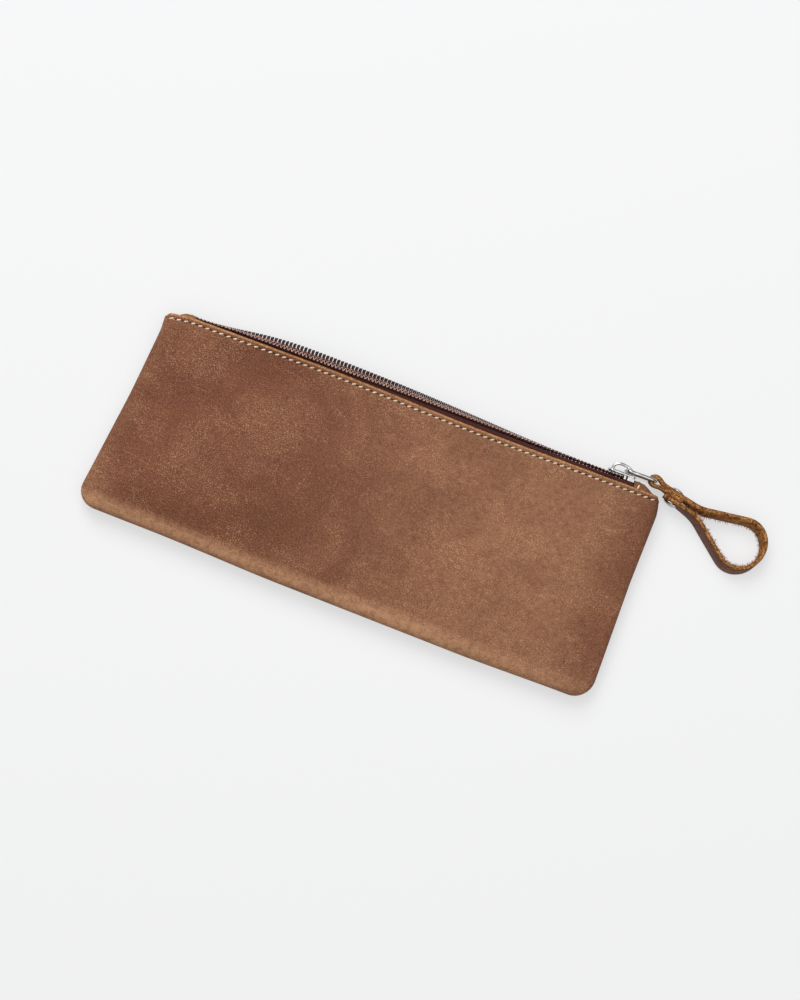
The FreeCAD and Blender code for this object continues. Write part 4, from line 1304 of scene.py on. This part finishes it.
class Walk:
    """Middle line of the strip as points with headings, walked by straight runs and bends."""

    def __init__(self, x, y, heading):
        self.at = Vector((x, y))
        self.heading = math.radians(heading)
        self.points = [(self.at.copy(), self.heading)]

    def step(self, length):
        self.at = self.at + Vector((math.cos(self.heading), math.sin(self.heading))) * length

    def run(self, length):
        steps = max(1, int(length / RUN_STEP))
        for _ in range(steps):
            self.step(length / steps)
            self.points.append((self.at.copy(), self.heading))

    def bend(self, radius, turn):
        by_length, by_turn = abs(math.radians(turn)) * radius / BEND_STEP, abs(turn) / BEND_TURN
        steps = max(FEWEST_BENDS, int(by_length), int(by_turn))
        part = math.radians(turn) / steps
        for _ in range(steps):
            self.heading += part / 2
            self.step(2 * radius * math.sin(abs(part) / 2))
            self.heading += part / 2
            self.points.append((self.at.copy(), self.heading))


trial = Walk(0, 0, 0)
trial.run(10)
trial.bend(5, 90)
print("10 mm ahead and a quarter turn of 5 mm end at", trial.at)

# %% [markdown]
# The strip starts at its free end beside the rivet, goes round the ring's bar and back along itself,
# opens into the loop and comes home to the rivet. Its straight parts could be tried until they meet, but
# a gap would show at the rivet. So the length beside the loop is worked out from the loop's radius and
# its flare.

# %% Strap path
STRAP_THICK, STRAP_HALF = 1.8, 3.8
LAYER = 1.85
RING_PLAY = 0.15
EASE_RADIUS = 6
LOOP_RADIUS, FLARE_RADIUS, LOOP_FLARE = 11, 20, 22
FREE_END, NECK, LAST_RUN = 15, 20, 13


def strap_walk():
    """From the free end round the ring's bar, along the neck, round the loop and back to the rivet."""
    fold = WIRE + RING_PLAY + STRAP_THICK / 2
    swing = math.degrees(math.acos(1 - (fold - LAYER / 2) / (2 * EASE_RADIUS)))
    drawn = 2 * EASE_RADIUS * math.sin(math.radians(swing))
    flare = math.radians(LOOP_FLARE)
    straight = LOOP_RADIUS * math.cos(flare) - LAYER - FLARE_RADIUS * (1 - math.cos(flare))
    straight = straight / math.sin(flare)
    walk = Walk(FREE_END, 0, 180)
    walk.run(FREE_END - drawn)
    for radius, turn in ((EASE_RADIUS, swing), (EASE_RADIUS, -swing), (fold, -180), (EASE_RADIUS, -swing),
                         (EASE_RADIUS, swing)):
        walk.bend(radius, turn)
    walk.run(NECK - drawn)
    walk.bend(FLARE_RADIUS, LOOP_FLARE)
    walk.run(straight)
    walk.bend(LOOP_RADIUS, -180 - 2 * LOOP_FLARE)
    walk.run(straight)
    walk.bend(FLARE_RADIUS, LOOP_FLARE)
    walk.run(LAST_RUN)
    return walk.points


strap_line = strap_walk()
print("strap:", round(sum((b[0] - a[0]).length for a, b in zip(strap_line, strap_line[1:])), 1), "mm long")

# %% [markdown]
# The strap doesn't stand straight: it is tilted down beside the case, leans over, and sinks to the
# surface that it lies on. The finished mesh could be turned as a whole, but the part at the ring has to
# stay upright. So every point of strap and rivet goes through one function that leans and sinks it more,
# the further it is from the ring.

# %% Strap's place
TILT = math.radians(-15.8)
LEAN, LEAN_X, LEAN_Y = 0.36, 0.28, 0.96
LEAN_FROM, LEAN_TO = 3, 29
STRAP_SINK, SINK_FROM, SINK_TO = 2.2, 2, 46
DRAWN_FROM, DRAWN = 16.0, 0.94


def strap_place(s, n, w):
    """Place of a point of the strap: s down the strap, n across its layers, w up its width."""
    s = s if s < DRAWN_FROM else DRAWN_FROM + (s - DRAWN_FROM) * DRAWN
    lean = LEAN * between(s, LEAN_FROM, LEAN_TO)
    sunk = STRAP_SINK * between(s, SINK_FROM, SINK_TO)
    across = n - LAYER / 2
    x = FAR_X + s * math.cos(TILT) - across * math.sin(TILT)
    y = RING_Y + s * math.sin(TILT) + across * math.cos(TILT)
    upright = math.sqrt(1 - lean * lean)
    return Vector((x + LEAN_X * lean * w, y + LEAN_Y * lean * w, MID_Z - sunk + w * upright))


print("loop's far end:", strap_place(max(spot.x for spot, heading in strap_line), 0.0, 0.0))

# %% [markdown]
# The strip's grain side is outside and its raw flesh side inside the loop. A plain extruded bar would
# give both sides the same sharp edges. So the section is drawn, with its grain edges a little
# rounded, and noise roughens the flesh and the cut edges.

# %% Strap's section
HALF_THICK = STRAP_THICK / 2
STRAP_SECTION = [(-STRAP_HALF + 0.3, HALF_THICK), (0.0, HALF_THICK), (STRAP_HALF - 0.3, HALF_THICK),
                 (STRAP_HALF, HALF_THICK - 0.28), (STRAP_HALF, 0.0), (STRAP_HALF - 0.05, -HALF_THICK + 0.2),
                 (STRAP_HALF - 0.35, -HALF_THICK), (0.0, -HALF_THICK), (-STRAP_HALF + 0.35, -HALF_THICK),
                 (-STRAP_HALF + 0.05, -HALF_THICK + 0.2), (-STRAP_HALF, 0.0),
                 (-STRAP_HALF, HALF_THICK - 0.28)]
STRAP_GRAIN, STRAP_FLESH = 0, 1
STRAP_KINDS = [STRAP_GRAIN] * 3 + [STRAP_FLESH] * 8 + [STRAP_GRAIN]
ROUGH, ROUGH_MARGIN = 0.09, 0.1
ROUGH_ALONG, ROUGH_ACROSS = 1.7, 1.2


def strap_band(build):
    rings = []
    for at, (spot, heading) in enumerate(strap_line):
        normal = Vector((-math.sin(heading), math.cos(heading)))
        ring = []
        for w, b in STRAP_SECTION:
            raw, cut = b < HALF_THICK - ROUGH_MARGIN, abs(w) > STRAP_HALF - ROUGH_MARGIN
            rough = ROUGH * noise.noise(Vector((at / ROUGH_ALONG, w / ROUGH_ACROSS, b))) if raw else 0.0
            p = spot + normal * (b + rough)
            ring.append(strap_place(p.x, p.y, w + (rough if cut else 0.0)))
        rings.append(ring)
    build.loops(rings, STRAP_KINDS)


print("strap's section:", len(STRAP_SECTION), "points at", len(strap_line), "places")

# %% [markdown]
# Loose fibres stand along the strap's inner edges. Hair particles would make them quickly, but they would
# be lost in an export. So each fibre is a thin tapered tube, placed by seeded random numbers.

# %% Loose fibres
FIBRES_FROM, FIBRES_EACH = 16, 11
FIBRE_RADII, FIBRE_SIDES, FIBRE_BEND = [0.11, 0.08, 0.03], 4, 0.55
FIBRE_SPREAD, FIBRE_DEPTH, FIBRE_SHIFT = 0.35, (-0.05, 0.5), (-0.4, 0.4)
FIBRE_LENGTH, FIBRE_SWAY, FIBRE_LIFT, FIBRE_CURL = (0.15, 1.15), (-0.35, 0.35), (-0.35, 0.45), (-0.12, 0.18)


def loose_fibre(build, spot, normal):
    """One fibre from the flesh side; the upper edge has twice as many as the lower one."""
    w = random.choice((-1, 1, 1)) * (STRAP_HALF - abs(random.gauss(0, FIBRE_SPREAD)))
    p = spot + normal * (-HALF_THICK + random.uniform(*FIBRE_DEPTH))
    p = p + Vector((random.uniform(*FIBRE_SHIFT), 0))
    root = strap_place(p.x, p.y, w)
    q = p - normal * random.uniform(*FIBRE_LENGTH)
    q = q + Vector((random.uniform(*FIBRE_SWAY), random.uniform(*FIBRE_SWAY)))
    tip = strap_place(q.x, q.y, w + random.uniform(*FIBRE_LIFT))
    middle = root.lerp(tip, FIBRE_BEND) + Vector((0, 0, random.uniform(*FIBRE_CURL)))
    build.loops(tube_rings([root, middle, tip], FIBRE_RADII, FIBRE_SIDES), STRAP_FLESH)


print("fibres on the strap:", FIBRES_EACH * sum(spot.x > FIBRES_FROM for spot, heading in strap_line))

# %% [markdown]
# Band and fibres become one piece. When the slider is drawn along the zip, the real strap trails limply
# on the case, while a rigid one would lie inside the coil. Bending it at every place of the slider would
# need its own simulation. This piece stays rigid on the strap's body.


def strap():
    build = Builder()
    strap_band(build)
    for spot, heading in strap_line:
        if spot.x > FIBRES_FROM:
            for _ in range(FIBRES_EACH):
                loose_fibre(build, spot, Vector((-math.sin(heading), math.cos(heading))))
    return build.piece("strap_leather", [strap_leather, flesh_leather])


strap_piece = strap()
seat(strap_piece, "strap", "strap_leather", "pull_strap")
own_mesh(strap_piece)

# %% [markdown]
# A two-part rivet holds the strap's layers: a nickel dome on each side, pressed slightly into the
# leather. A flattened sphere lacks its rolled rim and its shank, so a profile is turned round the
# rivet's axis, as on a lathe. It goes through the strap's own place function, so the domes sit square on
# the leaning leather.

# %% Rivet
RIVET_S = 11.0
RIVET_SIDES = 28
RIVET_PROFILE = [(0.9, -0.35), (1.15, -0.3), (1.2, 0.0), (3.0, -0.12), (3.2, 0.1), (3.17, 0.42), (2.85, 0.72),
                 (2.2, 1.05), (1.3, 1.28), (0.5, 1.38), (0.08, 1.4)]


def rivet_dome(name, side):
    build = Builder()
    face = side * (LAYER + HALF_THICK)
    build.loops([[strap_place(RIVET_S + radius * math.cos(t), face + side * height, radius * math.sin(t))
                  for t in around(RIVET_SIDES)] for radius, height in RIVET_PROFILE], METAL)
    return build.piece(name, [nickel])


for word, side, node in (("rivet_head", -1, "rivet_post"), ("rivet_top", 1, "rivet_cap")):
    dome = rivet_dome(word, side)
    seat(dome, "strap", "rivet_metal", node)
    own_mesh(dome)

# %% [markdown]
# The case lies on a plain pale surface. A pale floor alone renders grey where less light falls, and more
# light would bleach the leather. So the floor shows the camera a share of plain glow, and keeps the
# case's shadow in the rest.

# %% Floor
FLOOR_HALF = 6
FLOOR_GLOW = 0.6
floor_mesh = bpy.data.meshes.new("floor")
floor_mesh.from_pydata([(x * FLOOR_HALF, y * FLOOR_HALF, 0) for x, y in ((-1, -1), (1, -1), (1, 1), (-1, 1))],
                       [], [(0, 1, 2, 3)])
floor = bpy.data.objects.new("floor", floor_mesh)
bpy.context.scene.collection.objects.link(floor)
floor_paint, tree, shader = new_material("floor_paint")
shader.inputs["Base Color"].default_value = tint(243, 244, 246)
shader.inputs["Roughness"].default_value = 0.9
shader.inputs["Specular IOR Level"].default_value = 0.0
glow = add(tree, "ShaderNodeEmission", {"Color": tint(245, 245, 245), "Strength": 1.0})
seen = times(tree, add(tree, "ShaderNodeLightPath").outputs["Is Camera Ray"], FLOOR_GLOW)
even = add(tree, "ShaderNodeMixShader", {0: seen, 1: shader.outputs["BSDF"], 2: glow.outputs["Emission"]})
put(tree, tree.nodes["Material Output"].inputs["Surface"], even.outputs["Shader"])
floor_mesh.materials.append(floor_paint)
print("floor:", 2 * FLOOR_HALF, "m wide")

# %% [markdown]
# The light is soft: a broad lamp from the upper left, a weak one overhead, and a sky that is bright
# above and dark near the horizon. An even sky would light the metal from all sides and make it look
# flat; the dark horizon gives the slider and the ring their contrast.

# %% Sky and lamps
world = bpy.data.worlds.new("sky")
world.use_nodes = True
sky = world.node_tree
direction = add(sky, "ShaderNodeTexCoord").outputs["Generated"]
height = add(sky, "ShaderNodeSeparateXYZ", {"Vector": direction}).outputs["Z"]
put(sky, sky.nodes["Background"].inputs["Strength"], ramp(sky, height, 0.3, 0.9, 0.03, 0.78))
sky.nodes["Background"].inputs["Color"].default_value = (1.0, 1.0, 1.0, 1.0)
bpy.context.scene.world = world


def soft_lamp(name, place, span, power):
    """Square lamp that points at the case."""
    data = bpy.data.lights.new(name, "AREA")
    data.shape = "SQUARE"
    data.size = span
    data.energy = power
    lamp = bpy.data.objects.new(name, data)
    lamp.location = place
    lamp.rotation_euler = (-Vector(place)).to_track_quat("-Z", "Y").to_euler()
    bpy.context.scene.collection.objects.link(lamp)


soft_lamp("window", (-0.60, 1.10, 1.35), span=1.1, power=20.0)
soft_lamp("ceiling", (0.2, 0.1, 1.9), span=1.5, power=4.5)
print("lamps:", [lamp.name for lamp in bpy.data.lights])

# %% [markdown]
# The picture is taken straight from above. The camera could be placed by eye, but three numbers measured
# on the photograph fix it: its pixels for a millimetre, the case's turn in the picture, and the pixel
# where the case's middle lies.

# %% Camera
PIXELS_PER_MM = 2.30
IMAGE_TURN = math.radians(20.45)
ORIGIN_PIXEL = (376.0, 506.0)
IMAGE = (800, 1000)
DISTANCE = 1.4
FOCUS_Z = 0.012
SENSOR = 36.0
across = (IMAGE[0] / 2 - ORIGIN_PIXEL[0]) / PIXELS_PER_MM * MM
upwards = (ORIGIN_PIXEL[1] - IMAGE[1] / 2) / PIXELS_PER_MM * MM
camera_data = bpy.data.cameras.new("camera")
camera_data.sensor_fit = "VERTICAL"
camera_data.sensor_height = SENSOR
camera_data.lens = SENSOR * DISTANCE / (IMAGE[1] / PIXELS_PER_MM * MM)
camera_data.clip_end = 20.0
camera = bpy.data.objects.new("camera", camera_data)
right = Vector((math.cos(IMAGE_TURN), math.sin(IMAGE_TURN), 0))
up = Vector((-math.sin(IMAGE_TURN), math.cos(IMAGE_TURN), 0))
camera.location = right * across + up * upwards + Vector((0, 0, DISTANCE + FOCUS_Z))
camera.rotation_euler = (0, 0, IMAGE_TURN)
bpy.context.scene.collection.objects.link(camera)
bpy.context.scene.camera = camera
bpy.context.scene.view_settings.view_transform = "Standard"
print("lens:", round(camera_data.lens, 1), "mm at", camera.location)
